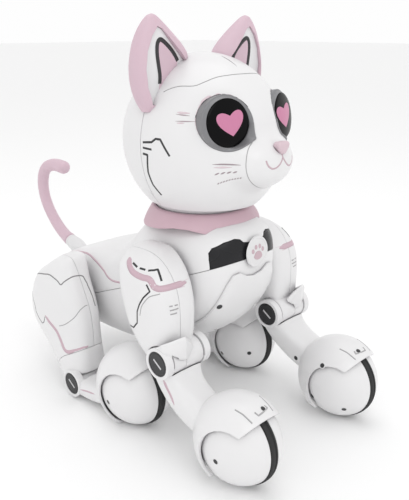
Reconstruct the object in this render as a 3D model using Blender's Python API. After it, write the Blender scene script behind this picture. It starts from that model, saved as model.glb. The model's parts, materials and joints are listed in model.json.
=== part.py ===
"""Robot cat toy on four small wheels, in Blender 4.5 (metres, +Z up).

Drawing units are millimetres measured from the front wheel axle line:
X to the cat's left, Y towards the tail, Z up from the floor.  Y_REF moves
the drawing so that the model stands on the centre of its footprint.
"""
import math

import bpy
import numpy as np

# ------------------------------------------------------------------ sizes (mm)
Y_REF = 146.95           # front axle line to the middle of the overall length
GAP = 0.35               # assembly gap between touching pieces
WALL = 2.2               # moulded wall thickness

FRONT_TRACK = 58.6       # wheel plane from the centre line, front
REAR_TRACK = 62.0        # wheel plane from the centre line, rear
WHEEL_R = 30.9           # tyre outer radius
REAR_AXLE_Y = 104.1      # wheel base
TYRE_W = 6.4
COVER_R = 30.0           # wheel cover radius at the tyre
COVER_X = 26.0           # wheel cover apex from the wheel plane
GUARD_IN = (27.2, 32.2)  # mudguard inner half axes (across, radial)
GUARD_OUT = (29.2, 34.2)

ELBOW = (59.3, 72.3)     # (y, z)
ANKLE = (167.2, 13.3)
SHOULDER = (92.0, 115.3)
HIP = (190.0, 75.1)
BELLY_Z = 37.0           # flat of the belly round the battery hatch
SEAM_Z0, SEAM_SLOPE = 153.0, -0.41   # body seam plane z = SEAM_Z0 + SEAM_SLOPE*y

HEAD_C = (0.0, 93.1, 214.4)
HEAD_R = (56.7, 61.9, 61.0)
HEAD_SEAM_Y = 97.0
HEAD_CUT_Z = 170.0
NECK = (0.0, 95.1)       # head turning axis (x, y)
EYE = (27.4, 45.3, 232.8)   # middle of the lens
EYE_NORMAL = (0.30, -0.94, 0.15)
EYE_R = 15.4
BEZEL_R = 18.3
TAIL_BASE = (0.0, 277.0, 94.8)
TAIL_AXIS = (0.0, 0.956, 0.294)

# torso stations: y, top z, bottom z, half width, roundness of the upper half
TORSO = [
    (40.5, 140.0, 138.6, 0.6, 2.3),
    (41.3, 146.5, 131.0, 10.5, 2.3),
    (43.2, 151.5, 119.0, 20.0, 2.4),
    (47.0, 155.6, 105.0, 28.0, 2.6),
    (53.0, 158.6, 92.0, 34.5, 2.8),
    (62.0, 160.6, 80.5, 39.0, 3.0),
    (75.0, 161.4, 69.5, 41.0, 3.2),
    (95.0, 161.5, 57.5, 41.3, 3.3),
    (115.0, 159.5, 47.0, 41.3, 3.2),
    (130.0, 152.5, 41.5, 41.2, 3.0),
    (140.0, 143.0, 39.0, 41.2, 2.9),
    (150.0, 133.0, 37.5, 41.2, 3.0),
    (160.0, 124.6, 36.5, 41.2, 3.3),
    (172.0, 119.6, 36.0, 41.3, 3.9),
    (186.0, 117.2, 35.6, 41.3, 4.4),
    (202.0, 113.6, 36.0, 41.3, 4.6),
    (218.0, 108.2, 38.0, 40.8, 4.5),
    (233.0, 102.2, 42.0, 39.0, 4.2),
    (247.0, 96.0, 47.5, 35.0, 3.6),
    (258.0, 89.6, 53.5, 28.0, 3.0),
    (266.0, 82.6, 59.0, 18.5, 2.6),
    (270.5, 75.5, 64.0, 9.0, 2.3),
    (271.8, 70.5, 69.0, 0.6, 2.3),
]
# upper arm stations: z, front y, rear y, middle x, half width across
ARM = [
    (146.3, 90.0, 96.0, 49.5, 1.0),
    (145.2, 82.0, 103.0, 51.2, 6.8),
    (142.0, 74.5, 107.5, 54.0, 11.2),
    (137.0, 67.6, 110.0, 57.2, 14.8),
    (131.0, 62.0, 110.4, 59.4, 17.0),
    (123.0, 57.5, 108.6, 60.8, 18.3),
    (114.0, 55.2, 106.0, 61.2, 18.9),
    (105.0, 54.3, 103.3, 61.2, 18.8),
    (97.0, 54.3, 100.5, 61.2, 18.5),
    (90.0, 54.6, 97.0, 61.2, 18.0),
    (84.0, 55.2, 92.5, 61.2, 17.2),
    (78.0, 56.4, 87.5, 61.2, 16.0),
    (72.0, 58.5, 82.0, 61.0, 14.0),
    (67.5, 62.0, 76.5, 60.6, 10.0),
    (65.5, 67.5, 70.5, 60.2, 1.0),
]
ARM_X = 61.2
# haunch stations: z, front y, rear y, middle x, half width across
HAUNCH = [
    (114.6, 188.0, 195.0, 53.0, 1.5),
    (113.6, 184.0, 198.5, 54.6, 9.0),
    (110.0, 180.5, 203.5, 57.0, 11.6),
    (104.0, 177.0, 212.0, 59.0, 13.4),
    (97.0, 173.5, 222.0, 60.4, 14.8),
    (89.0, 169.4, 228.6, 61.2, 15.9),
    (80.0, 165.0, 233.2, 61.6, 16.3),
    (70.0, 162.0, 236.8, 61.6, 16.4),
    (60.0, 160.8, 237.2, 61.6, 16.4),
    (52.0, 160.4, 233.4, 61.6, 16.4),
    (44.0, 160.4, 224.0, 61.6, 16.4),
    (36.0, 160.2, 212.4, 61.6, 16.4),
    (28.0, 160.0, 202.0, 61.8, 16.6),
    (20.0, 159.4, 193.0, 61.9, 17.0),
    (12.0, 159.5, 184.5, 62.0, 17.5),
    (6.0, 162.5, 178.0, 62.0, 17.0),
    (3.6, 168.0, 172.0, 62.0, 16.0),
]
HAUNCH_X = 60.2
# forearm and foot centre lines: y, z, half thickness, middle x, half width
FOREARM = [
    (61.0, 70.0, 8.0, 58.8, 19.4),
    (59.2, 62.0, 10.6, 59.4, 18.0),
    (53.5, 53.2, 11.4, 60.6, 15.6),
    (44.5, 46.0, 11.6, 61.4, 14.8),
    (34.0, 41.0, 11.6, 61.4, 14.8),
    (24.0, 38.0, 11.0, 61.4, 14.8),
]
FOOT = [
    (172.0, 12.6, 9.5, 62.0, 17.5),
    (160.0, 11.6, 8.8, 62.0, 17.7),
    (148.0, 11.6, 8.2, 62.0, 17.5),
    (136.0, 13.6, 8.6, 62.0, 17.0),
    (128.0, 16.5, 9.0, 62.0, 16.5),
]
# tail centre line (y, z) and radius
TAIL = [
    (277.9, 95.1, 6.3), (284.0, 97.2, 5.7), (291.0, 100.8, 5.5),
    (299.5, 107.0, 5.4), (308.0, 115.3, 5.3), (314.6, 124.5, 5.3),
    (318.6, 134.5, 5.3), (319.4, 145.0, 5.4), (316.6, 154.6, 5.5),
    (310.0, 161.8, 5.7), (301.0, 165.4, 5.9), (291.0, 166.6, 6.1),
    (281.0, 166.0, 6.3),
]
# mudguard side line (y forward of the axle is negative, z above the floor)
GUARD_EDGE = [
    (-23.0, 72.0), (-22.4, 57.2), (-16.5, 49.4), (-10.0, 51.2), (-4.5, 50.9),
    (0.5, 49.2), (5.0, 46.0), (8.6, 41.6), (11.0, 35.8), (11.8, 30.0),
    (11.2, 23.5), (9.2, 17.5), (6.0, 12.0), (4.0, 6.0),
]


# ------------------------------------------------------------------- helpers
def clear_scene():
    for o in list(bpy.data.objects):
        bpy.data.objects.remove(o, do_unlink=True)


def smooth(table, n):
    """n rows along a Catmull-Rom curve through the rows of a table."""
    p = np.array(table, float)
    p = np.vstack([2 * p[0] - p[1], p, 2 * p[-1] - p[-2]])
    m = len(p) - 3
    out = []
    for t in np.linspace(0, m, n):
        i = min(int(t), m - 1)
        f = t - i
        a, b, c, d = p[i:i + 4]
        out.append(0.5 * (2 * b + (c - a) * f + (2 * a - 5 * b + 4 * c - d) * f * f
                          + (3 * b - 3 * c + d - a) * f ** 3))
    return np.array(out)


def oval(n, power):
    """Unit superellipse, n points, with its own roundness above and below."""
    t = np.linspace(0, 2 * math.pi, n, endpoint=False)
    c, s = np.cos(t), np.sin(t)
    p = np.where(s >= 0, power[0], power[1])
    return (np.sign(c) * np.abs(c) ** (2 / p), np.sign(s) * np.abs(s) ** (2 / p))


def flat_faces(v, faces):
    """Splits the quads that are not flat, so that every face lies in a plane."""
    out = []
    for f in faces:
        if len(f) == 4:
            p, q, r, s = (v[i] for i in f)
            n = np.cross(r - p, s - q)
            if abs(float(np.dot(n, q - p))) > 1e-7 * max(float(np.linalg.norm(n)), 1e-12):
                if np.linalg.norm(r - p) <= np.linalg.norm(s - q):
                    out += [(f[0], f[1], f[2]), (f[0], f[2], f[3])]
                else:
                    out += [(f[0], f[1], f[3]), (f[1], f[2], f[3])]
                continue
        out.append(tuple(f))
    return out


def mesh(verts, faces):
    me = bpy.data.meshes.new("m")
    v = np.array(verts, float) * 0.001
    faces = flat_faces(v, faces)
    v[:, 1] -= Y_REF * 0.001
    me.from_pydata([tuple(q) for q in v], [], faces)
    me.validate()
    ob = bpy.data.objects.new("work", me)
    bpy.context.collection.objects.link(ob)
    return outward(ob)


def outward(ob):
    """Turns the faces so that the enclosed volume is positive."""
    me = ob.data
    vol = 0.0
    co = np.array([v.co[:] for v in me.vertices])
    mid = co.mean(0)
    for p in me.polygons:
        q = co[list(p.vertices)] - mid
        for i in range(1, len(q) - 1):
            vol += float(np.dot(q[0], np.cross(q[i], q[i + 1])))
    if vol < 0:
        me.flip_normals()
    return ob


def loft(rings):
    """Closed solid through rings of equal size, each end closed at its middle."""
    n = len(rings[0])
    v = [tuple(p) for r in rings for p in r]
    f = []
    for i in range(len(rings) - 1):
        for j in range(n):
            k = (j + 1) % n
            f.append((i * n + j, i * n + k, (i + 1) * n + k, (i + 1) * n + j))
    for base, flip in ((0, False), ((len(rings) - 1) * n, True)):
        c = len(v)
        v.append(tuple(np.mean(rings[0 if base == 0 else -1], axis=0)))
        for j in range(n):
            k = (j + 1) % n
            f.append((c, base + k, base + j) if not flip else (c, base + j, base + k))
    return mesh(v, f)


def lathe(profile, centre, axis, seg=24, closed=False):
    """Turned solid. profile is (along, radius); an open one starts and ends on the axis."""
    a = np.array(axis, float)
    a /= np.linalg.norm(a)
    u = np.cross(a, (0.0, 0.0, 1.0) if abs(a[2]) < 0.9 else (1.0, 0.0, 0.0))
    u /= np.linalg.norm(u)
    w = np.cross(a, u)
    c = np.array(centre, float)
    v, f, rows = [], [], []
    for s, r in profile:
        if r < 1e-6:
            rows.append([len(v)] * seg)
            v.append(tuple(c + a * s))
        else:
            rows.append([len(v) + j for j in range(seg)])
            for j in range(seg):
                t = 2 * math.pi * j / seg
                v.append(tuple(c + a * s + r * (u * math.cos(t) + w * math.sin(t))))
    pairs = list(zip(rows[:-1], rows[1:]))
    if closed:
        pairs.append((rows[-1], rows[0]))
    for p, q in pairs:
        for j in range(seg):
            k = (j + 1) % seg
            face = []
            for i in (p[j], p[k], q[k], q[j]):
                if i not in face:
                    face.append(i)
            if len(face) > 2:
                f.append(tuple(face))
    return mesh(v, f)


def cylinder(centre, axis, lo, hi, r, seg=24):
    return lathe([(lo, 0), (lo, r), (hi, r), (hi, 0)], centre, axis, seg)


def prism(outline, axis, lo, hi):
    """Outline in the plane across one axis, pushed from lo to hi along it."""
    other = [i for i in range(3) if i != axis]
    v = []
    for s in (lo, hi):
        for p in outline:
            q = [0.0, 0.0, 0.0]
            q[axis], q[other[0]], q[other[1]] = s, p[0], p[1]
            v.append(tuple(q))
    n = len(outline)
    f = [tuple(range(n)), tuple(range(2 * n - 1, n - 1, -1))]
    f += [(j, n + j, n + (j + 1) % n, (j + 1) % n) for j in range(n)]
    return mesh(v, f)


def box(lo, hi):
    return prism([(lo[1], lo[2]), (hi[1], lo[2]), (hi[1], hi[2]), (lo[1], hi[2])], 0, lo[0], hi[0])


def ellipsoid(centre, radii, seg=24, rings=12):
    """Ellipsoid with its poles along X."""
    rows = []
    for i in range(1, rings):
        t = math.pi * i / rings
        x, r = math.cos(t), math.sin(t)
        rows.append([(centre[0] + radii[0] * x,
                      centre[1] + radii[1] * r * math.cos(2 * math.pi * j / seg),
                      centre[2] + radii[2] * r * math.sin(2 * math.pi * j / seg)) for j in range(seg)])
    n = seg
    v = [p for r in rows for p in r]
    v += [(centre[0] + radii[0], centre[1], centre[2]), (centre[0] - radii[0], centre[1], centre[2])]
    f = []
    for i in range(len(rows) - 1):
        for j in range(n):
            k = (j + 1) % n
            f.append((i * n + j, i * n + k, (i + 1) * n + k, (i + 1) * n + j))
    last = (len(rows) - 1) * n
    for j in range(n):
        k = (j + 1) % n
        f.append((len(v) - 2, k, j))
        f.append((len(v) - 1, last + j, last + k))
    return mesh(v, f)


def boolean(ob, tool, how):
    """Applies one exact Boolean with a tool that is used up."""
    m = ob.modifiers.new("b", "BOOLEAN")
    m.operation = how
    m.solver = "EXACT"
    m.object = tool
    dg = bpy.context.evaluated_depsgraph_get()
    dg.update()
    me = bpy.data.meshes.new_from_object(ob.evaluated_get(dg))
    ob.modifiers.clear()
    old = ob.data
    ob.data = me
    bpy.data.meshes.remove(old)
    bpy.data.objects.remove(tool, do_unlink=True)
    return ob


def cut(ob, *tools):
    for t in tools:
        boolean(ob, t, "DIFFERENCE")
    return ob


def add(ob, *tools):
    for t in tools:
        boolean(ob, t, "UNION")
    return ob


def keep(ob, *tools):
    for t in tools:
        boolean(ob, t, "INTERSECT")
    return ob


def pivot(name, at, parent=None):
    """Empty on a joint's axis. at is in drawing millimetres."""
    e = bpy.data.objects.new(name, None)
    bpy.context.collection.objects.link(e)
    w = np.array([at[0], at[1] - Y_REF, at[2]]) * 0.001
    e["world"] = [float(q) for q in w]
    if parent:
        e.parent = parent
        w = w - np.array(parent["world"])
    e.location = tuple(w)
    return e


FINISH = {}


def finish(name, colour, rough, metal=0.0):
    m = bpy.data.materials.new(name)
    m.use_nodes = True
    b = m.node_tree.nodes["Principled BSDF"]
    b.inputs["Base Color"].default_value = (*colour, 1.0)
    b.inputs["Roughness"].default_value = rough
    b.inputs["Metallic"].default_value = metal
    FINISH[name] = (colour, rough, metal)


COUNT = {}


def part(ob, name, look, on):
    """Names a finished solid, gives it its own material and hangs it on a pivot."""
    colour, rough, metal = FINISH[look]
    m = bpy.data.materials[look].copy()
    m.name = name + "_finish"
    ob.name = name
    ob.data.name = name
    ob.data.materials.clear()
    ob.data.materials.append(m)
    off = on["world"]
    for v in ob.data.vertices:
        v.co.x -= off[0]
        v.co.y -= off[1]
        v.co.z -= off[2]
    ob.parent = on
    ob.data.shade_smooth()
    ob.data.set_sharp_from_angle(angle=math.radians(35))
    COUNT[name] = sum(len(p.vertices) - 2 for p in ob.data.polygons)
    return ob


def pair(ob, name, look, on):
    """Left piece and its mirrored right twin; on holds the left and right pivots."""
    me = ob.data.copy()
    for v in me.vertices:
        v.co.x = -v.co.x
    me.flip_normals()
    twin = bpy.data.objects.new("work", me)
    bpy.context.collection.objects.link(twin)
    part(ob, name + "_left", look, on[0])
    part(twin, name + "_right", look, on[1])


def pivots(name, at, parents):
    return [pivot(name + "_left", at, parents[0]), pivot(name + "_right", (-at[0], at[1], at[2]), parents[1])]


# --------------------------------------------------------------- shape recipes
def torso(off=0.0, rings=26, seg=32):
    """Body egg through the torso stations, grown or shrunk by off."""
    out = []
    for y, zt, zb, w, pw in smooth(TORSO, rings):
        s = max(-1.0, min(1.0, (y - 156.0) / 116.0))
        cx, cz = oval(seg, (pw, 2.4))
        w = max(w + off, 0.25)
        zt2, zb2 = zt + off, zb - off
        if zt2 - zb2 < 0.5:
            mid = 0.5 * (zt2 + zb2)
            zt2, zb2 = mid + 0.25, mid - 0.25
        zc, h = 0.5 * (zt2 + zb2), 0.5 * (zt2 - zb2)
        out.append(np.stack([w * cx, np.full(seg, y + off * s ** 3), zc + h * cz], 1))
    return loft(out)


def below_seam(extra=0.0):
    """Everything under the body seam plane."""
    z0, k = SEAM_Z0 + extra, SEAM_SLOPE
    return prism([(-10, z0 - 10 * k), (300, z0 + 300 * k), (300, -60), (-10, -60)], 0, -90, 90)


def above_seam(extra=0.0):
    z0, k = SEAM_Z0 + extra, SEAM_SLOPE
    return prism([(-10, z0 - 10 * k), (-10, 260), (300, 260), (300, z0 + 300 * k)], 0, -90, 90)


def column(table, off=0.0, rings=16, seg=22, power=2.7, inner=5.0):
    """Upright limb through its stations; the face towards the body is flatter."""
    out = []
    tips = (table[0][0], table[-1][0])
    t = np.linspace(0, 2 * math.pi, seg, endpoint=False)
    c, q = np.cos(t), np.sin(t)
    pw = np.where(c >= 0, power, inner)
    cx = np.sign(c) * np.abs(c) ** (2 / pw)
    cy = np.sign(q) * np.abs(q) ** (2 / pw)
    for z, yf, yr, xm, hx in smooth(table, rings):
        k = (z - tips[1]) / (tips[0] - tips[1])
        hx2 = max(hx + off, 0.3)
        hy = max(0.5 * (yr - yf) + off, 0.3)
        out.append(np.stack([xm + hx2 * cx, 0.5 * (yf + yr) + hy * cy, np.full(seg, z + off * (2 * k - 1))], 1))
    return loft(out)


def limb(table, rings=10, seg=20, power=3.0):
    """Limb along a centre line in the side plane."""
    rows = smooth(table, rings)
    out = []
    for i, (y, z, ht, xm, hx) in enumerate(rows):
        a, b = rows[max(i - 1, 0)], rows[min(i + 1, len(rows) - 1)]
        d = np.array([b[0] - a[0], b[1] - a[1]])
        d /= np.linalg.norm(d)
        cx, cn = oval(seg, (power, power))
        out.append(np.stack([xm + hx * cx, y - d[1] * ht * cn, z + d[0] * ht * cn], 1))
    return loft(out)


def guard_cut(y0, lo, hi):
    edge = [(y0 + y, z) for y, z in GUARD_EDGE]
    return prism(edge + [(y0 + 4.0, -12.0), (y0 - 60.0, -12.0), (y0 - 60.0, 72.0)], 0, lo, hi)


def head_dirs(rings, seg, lo, hi):
    out = []
    for t in np.linspace(lo, hi, rings):
        ring = []
        for j in range(seg):
            a = 2 * math.pi * j / seg
            ring.append((math.sin(t) * math.cos(a), -math.cos(t), math.sin(t) * math.sin(a)))
        out.append(ring)
    return np.array(out)


def head_field(p):
    """Negative inside the head: an egg with a soft muzzle and cheeks."""
    def egg(c, r):
        q = (p - np.array(c)) / np.array(r)
        k = np.sqrt((q * q).sum(-1))
        return (k - 1) * min(r)

    def soft(a, b, k):
        h = np.clip(0.5 + 0.5 * (b - a) / k, 0, 1)
        return b * (1 - h) + a * h - k * h * (1 - h)

    skull = egg(HEAD_C, HEAD_R)
    muzzle = egg((0.0, 40.6, 206.0), (26.6, 22.0, 19.4))
    return soft(skull, muzzle, 6.0)


def head_skin(off, rings, seg, lo, hi, centre_y):
    """Rings of the head surface seen from its middle, from the nose pole back."""
    c = np.array([0.0, centre_y, 212.0])
    d = head_dirs(rings, seg, lo, hi)
    a = np.full(d.shape[:2], 20.0)
    b = np.full(d.shape[:2], 110.0)
    for _ in range(34):
        m = 0.5 * (a + b)
        inside = head_field(c + d * m[..., None]) < 0
        a = np.where(inside, m, a)
        b = np.where(inside, b, m)
    return c + d * (a[..., None] + off)


def head_half(front, off=0.0, rings=12, seg=32):
    lo, hi = (0.03, math.pi / 2) if front else (math.pi / 2, math.pi - 0.03)
    r = head_skin(off, rings, seg, lo, hi, HEAD_SEAM_Y)
    return loft(list(r))


# ------------------------------------------------------------------ the model
def build():
    clear_scene()
    finish("white", (0.86, 0.87, 0.88), 0.32)
    finish("pink", (0.72, 0.46, 0.56), 0.42)
    finish("pale_pink", (0.78, 0.58, 0.66), 0.45)
    finish("black", (0.02, 0.02, 0.022), 0.35)
    finish("rubber", (0.025, 0.025, 0.027), 0.75)
    finish("silver", (0.42, 0.42, 0.44), 0.38, 0.6)
    finish("lens", (0.01, 0.01, 0.012), 0.06)
    finish("board", (0.03, 0.22, 0.10), 0.5)
    finish("cell", (0.10, 0.22, 0.55), 0.4)
    finish("steel", (0.55, 0.55, 0.57), 0.3, 1.0)

    base = pivot("cat", (0, Y_REF, 0))
    neck = pivot("neck_pivot", (NECK[0], NECK[1], HEAD_CUT_Z), base)
    tail_pv = pivot("tail_pivot", TAIL_BASE, base)

    # ---- body shells
    side_x = 60
    for name, upper in (("upper_body_shell", True), ("lower_body_shell", False)):
        s = cut(torso(0.0, 19, 18), torso(-WALL - 0.4, 9, 12))
        cut(s, below_seam(0.2) if upper else above_seam(-0.2))
        cut(s, cylinder((0, SHOULDER[0], SHOULDER[1]), (1, 0, 0), -side_x, side_x, 7.4, 14),
            cylinder((0, HIP[0], HIP[1]), (1, 0, 0), -side_x, side_x, 7.4, 14))
        if upper:
            cut(s, cylinder((NECK[0], NECK[1], 150), (0, 0, 1), 0, 20, 11.0, 20),
                prism(window_outline(0.35), 1, 20, 72),
                lathe([(-16, 0), (-16, 3.6), (6, 3.6), (6, 0)], TAIL_BASE, TAIL_AXIS, 12))
            part(s, name, "white", base)
        else:
            cut(s, box((-60, 100, 20), (60, 240, BELLY_Z)))
            cut(s, box((-17.4, 139.6, 20), (17.4, 196.4, 50)), box((-3.6, 206.6, 20), (3.6, 219.4, 52)))
            part(s, name, "white", base)

    # ---- black sensor window across the chest, at the foot of the upper shell
    w = cut(torso(0.0, 19, 18), torso(-1.8, 11, 14))
    keep(w, prism(window_outline(0.0), 1, 22, 70))
    cut(w, below_seam(0.2))
    part(w, "sensor_window", "black", base)

    # ---- raised chest plate on the lower shell
    p = cut(torso(1.8, 19, 18), torso(GAP, 19, 18))
    keep(p, prism(plate_outline(), 1, 20, 108))
    cut(p, above_seam(-0.2))
    part(p, "chest_plate", "white", base)

    # ---- medallion
    m = lathe([(0, 0), (0, 10.4), (0.5, 11.3), (2.2, 11.4), (3.0, 10.6), (3.3, 8.5), (3.45, 4.0), (3.5, 0)],
              (0, 41.2, 140.1), (0, -1, 0.08), 24)
    cut(m, torso(1.8 + GAP, 19, 18))
    part(m, "chest_medallion", "white", base)

    # ---- collar
    c = lathe([(151.0, 34.3), (165.6, 34.3), (166.4, 35.6), (165.4, 37.8), (159.0, 41.6), (153.0, 44.0), (151.0, 43.4)],
              (NECK[0], NECK[1], 0), (0, 0, 1), 24, closed=True)
    cut(c, torso(GAP, 19, 18))
    cut(c, box((-50, 40, 140), (50, 150, 151.4)))
    part(c, "neck_collar", "pink", base)

    # ---- belly hatch with its screw, switch, and the parts inside
    h = cut(torso(0.0, 19, 18), torso(-3.4, 11, 14))
    keep(h, box((-17.0, 140.0, BELLY_Z), (17.0, 196.0, 50)))
    cut(h, cylinder((0, 190.0, 0), (0, 0, 1), 20, 60, 2.0, 12))
    part(h, "battery_cover", "white", base)
    zb = BELLY_Z
    part(lathe([(0.4, 0), (0.4, 1.2), (0.9, 1.6), (1.9, 1.6), (1.9, 1.1), (9, 1.1), (9, 0)],
               (0, 190.0, zb), (0, 0, 1), 10), "battery_cover_screw", "steel", base)
    part(box((-12, 144, 46.0), (12, 184, 60)), "battery_pack", "cell", base)
    b = box((-27, 120, 70), (27, 214, 71.6))
    add(b, box((-9, 150, 71.4), (9, 168, 73.6)), box((10, 180, 71.4), (22, 192, 77)),
        box((-22, 196, 71.4), (-12, 206, 75)))
    part(b, "main_circuit_board", "board", base)
    part(lathe([(0, 0), (0, 12), (2.5, 12), (7, 8), (11, 8), (11, 0)], (0, 96, 70.5), (0, 0.25, 1), 14),
         "speaker", "black", base)
    sv = box((-11, 78, 112), (11, 104, 134))
    add(sv, cylinder((NECK[0], NECK[1], 0), (0, 0, 1), 132, 137, 4.5, 14))
    part(sv, "neck_servo", "black", base)

    # ---- tail socket on the rump
    s = lathe([(-15, 2.6), (-15, 9.4), (-7, 7.2), (-2, 6.2), (0, 6.0), (0, 2.6)], TAIL_BASE, TAIL_AXIS, 20, closed=True)
    cut(s, torso(GAP, 19, 18))
    part(s, "tail_socket", "white", base)

    # ---- tail: a curved tube with a pin that turns in the socket
    rows = smooth(TAIL, 15)
    rings, seg = [], 9
    for i, (y, z, r) in enumerate(rows):
        a, b2 = rows[max(i - 1, 0)], rows[min(i + 1, len(rows) - 1)]
        d = np.array([b2[0] - a[0], b2[1] - a[1]])
        d /= np.linalg.norm(d)
        nrm = np.array([-d[1], d[0]])
        t = np.linspace(0, 2 * math.pi, seg, endpoint=False)
        rings.append(np.stack([r * np.cos(t), y + nrm[0] * r * np.sin(t), z + nrm[1] * r * np.sin(t)], 1))
    y, z, r = rows[-1]
    d = np.array([rows[-1][0] - rows[-2][0], rows[-1][1] - rows[-2][1]])
    d /= np.linalg.norm(d)
    nrm = np.array([-d[1], d[0]])
    for a in (0.6, 1.15):
        rr, o = r * math.cos(a), r * math.sin(a)
        rings.append(np.stack([rr * np.cos(t), y + d[0] * o + nrm[0] * rr * np.sin(t),
                               z + d[1] * o + nrm[1] * rr * np.sin(t)], 1))
    tail = loft(rings)
    add(tail, cylinder(TAIL_BASE, TAIL_AXIS, -13, 3, 2.1, 12))
    part(tail, "tail", "pale_pink", tail_pv)

    # ---- head shells
    for name, front in (("face_shell", True), ("head_back_shell", False)):
        h = head_half(front, 0.0, 11 if front else 6, 20)
        inner = head_half(front, -WALL - 0.6, 5, 12)
        # the inner egg runs 1 mm past the seam so that the cup is open
        dy = 1.0 if front else -1.0
        for v in inner.data.vertices:
            v.co.y += 0.001 * dy
        if not front:
            cut(h, box((-90, 90, 100), (90, HEAD_SEAM_Y + 0.3, 300)))
        cut(h, box((-90, -5, 120), (90, 171.3, HEAD_CUT_Z + 0.37)))
        cut(h, inner)
        if front:
            for s in (1, -1):
                cut(h, cylinder(eye_at(s), eye_dir(s), -17, 16, BEZEL_R + 0.35, 20))
            cut(h, cylinder((0, 20, 217.6), (0, 1, 0), -8, 3.8, 4.9, 14))
        part(h, name, "white", neck)
    t = lathe([(0, 0), (0, 35.5), (-3, 34.4), (-6, 33.2), (-6.9, 32.6), (-6.9, 14), (-8, 10.2), (-32.5, 10.2),
               (-32.5, 0)], (NECK[0], NECK[1], HEAD_CUT_Z), (0, 0, 1), 22)
    part(t, "neck_turntable", "white", neck)

    sides = [neck, neck]
    bez = lathe([(-14, EYE_R + 0.35), (-14, BEZEL_R), (8.0, BEZEL_R), (8.0, BEZEL_R - 0.5), (0.2, EYE_R + 0.35)],
                eye_at(1), eye_dir(1), 20, closed=True)
    reach = add(head_egg(0.9), cylinder(eye_at(1), eye_dir(1), -30, 0.6, 30, 22))
    pair(keep(bez, reach), "eye_bezel", "silver", sides)
    lens = lathe([(-3, 0), (-3, EYE_R), (0, EYE_R), (1.0, 11.0), (1.5, 5.5), (1.7, 0)], eye_at(1), eye_dir(1), 20)
    pair(lens, "eye_lens", "lens", sides)
    ear = cut(ear_solid(), head_egg(GAP))
    cut(ear, prism(ear_mouth(0.0), 1, 70, 93.6))
    pair(ear, "ear", "pale_pink", sides)
    inner = cut(prism(ear_mouth(-0.4), 1, 91.2, 93.2), head_egg(GAP))
    pair(inner, "ear_inner", "pale_pink", sides)
    nose = lathe([(4.2, 0), (4.2, 4.2), (2.0, 4.5), (-0.4, 4.2), (-1.6, 3.0), (-2.1, 0)], (0, 19.2, 217.6), (0, 1, 0), 12)
    part(nose, "nose", "pale_pink", neck)

    front_leg([base, base])
    rear_leg([base, base])
    part(box((-3.0, 211.0, 34.6), (3.0, 215.0, 43.5)), "power_switch", "black", base)


def window_outline(grow):
    half = [(0, 147.5), (7.0, 147.8), (11.0, 148.4), (13.0, 150.6), (17.0, 151.4), (24.0, 149.6), (31.0, 146.0),
            (34.5, 142.0), (35.4, 137.5), (35.8, 128.0)]
    g = grow
    right = [(x + (g if x > 20 else -g if x > 8 else 0), z + (g if z > 140 else 0)) for x, z in half]
    return [(-x, z) for x, z in right[::-1][:-1]] + right


def plate_outline():
    half = [(0, 121.5), (8, 123.0), (15, 127.0), (20.5, 126.0), (24.5, 119.0), (28.0, 107.0), (30.0, 96.0),
            (31.5, 84.0), (30.0, 72.0), (24.0, 60.0)]
    return [(-x, z) for x, z in half[::-1][:-1]] + half + [(0, 60.0)]


def eye_dir(s):
    d = np.array([s * EYE_NORMAL[0], EYE_NORMAL[1], EYE_NORMAL[2]])
    return tuple(d / np.linalg.norm(d))


def eye_at(s):
    return (s * EYE[0], EYE[1], EYE[2])


EAR = [  # z, outer x, inner x, half depth, middle y
    (238.0, 54.5, 40.0, 5.0, 95.5),
    (243.0, 57.0, 34.0, 9.0, 96.0),
    (250.0, 59.8, 28.0, 11.0, 96.5),
    (258.0, 61.4, 22.0, 12.0, 97.0),
    (266.0, 61.8, 17.0, 12.2, 97.2),
    (274.0, 61.0, 15.5, 11.4, 97.2),
    (281.0, 59.4, 20.5, 10.0, 97.0),
    (288.0, 56.6, 28.5, 8.2, 96.6),
    (294.0, 53.0, 36.0, 6.0, 96.0),
    (298.5, 49.0, 42.0, 3.4, 95.4),
    (300.0, 46.0, 45.0, 0.8, 95.0),
]


def ear_solid():
    out = []
    for z, xo, xi, hd, ym in smooth(EAR, 11):
        cx, cy = oval(14, (2.2, 2.6))
        xm, hx = 0.5 * (xo + xi), 0.5 * (xo - xi)
        out.append(np.stack([xm + hx * cx, ym + hd * cy, np.full(14, z)], 1))
    return loft(out)


def ear_mouth(grow):
    """Opening of the ear seen from the front."""
    pts = [(50.5, 246.0), (54.0, 256.0), (54.8, 266.0), (53.0, 276.0), (49.0, 284.5), (44.5, 289.5), (41.0, 288.0),
           (34.5, 281.0), (27.0, 273.5), (22.0, 268.0), (20.0, 258.0), (30.0, 246.0)]
    c = np.array(pts).mean(0)
    return [tuple(c + (np.array(p) - c) * (1 + grow / 18.0)) for p in pts]


def head_egg(off):
    """Whole head skin as one solid, grown by off."""
    r = head_skin(off, 17, 20, 0.03, math.pi - 0.03, HEAD_SEAM_Y)
    return loft(list(r))


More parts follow.
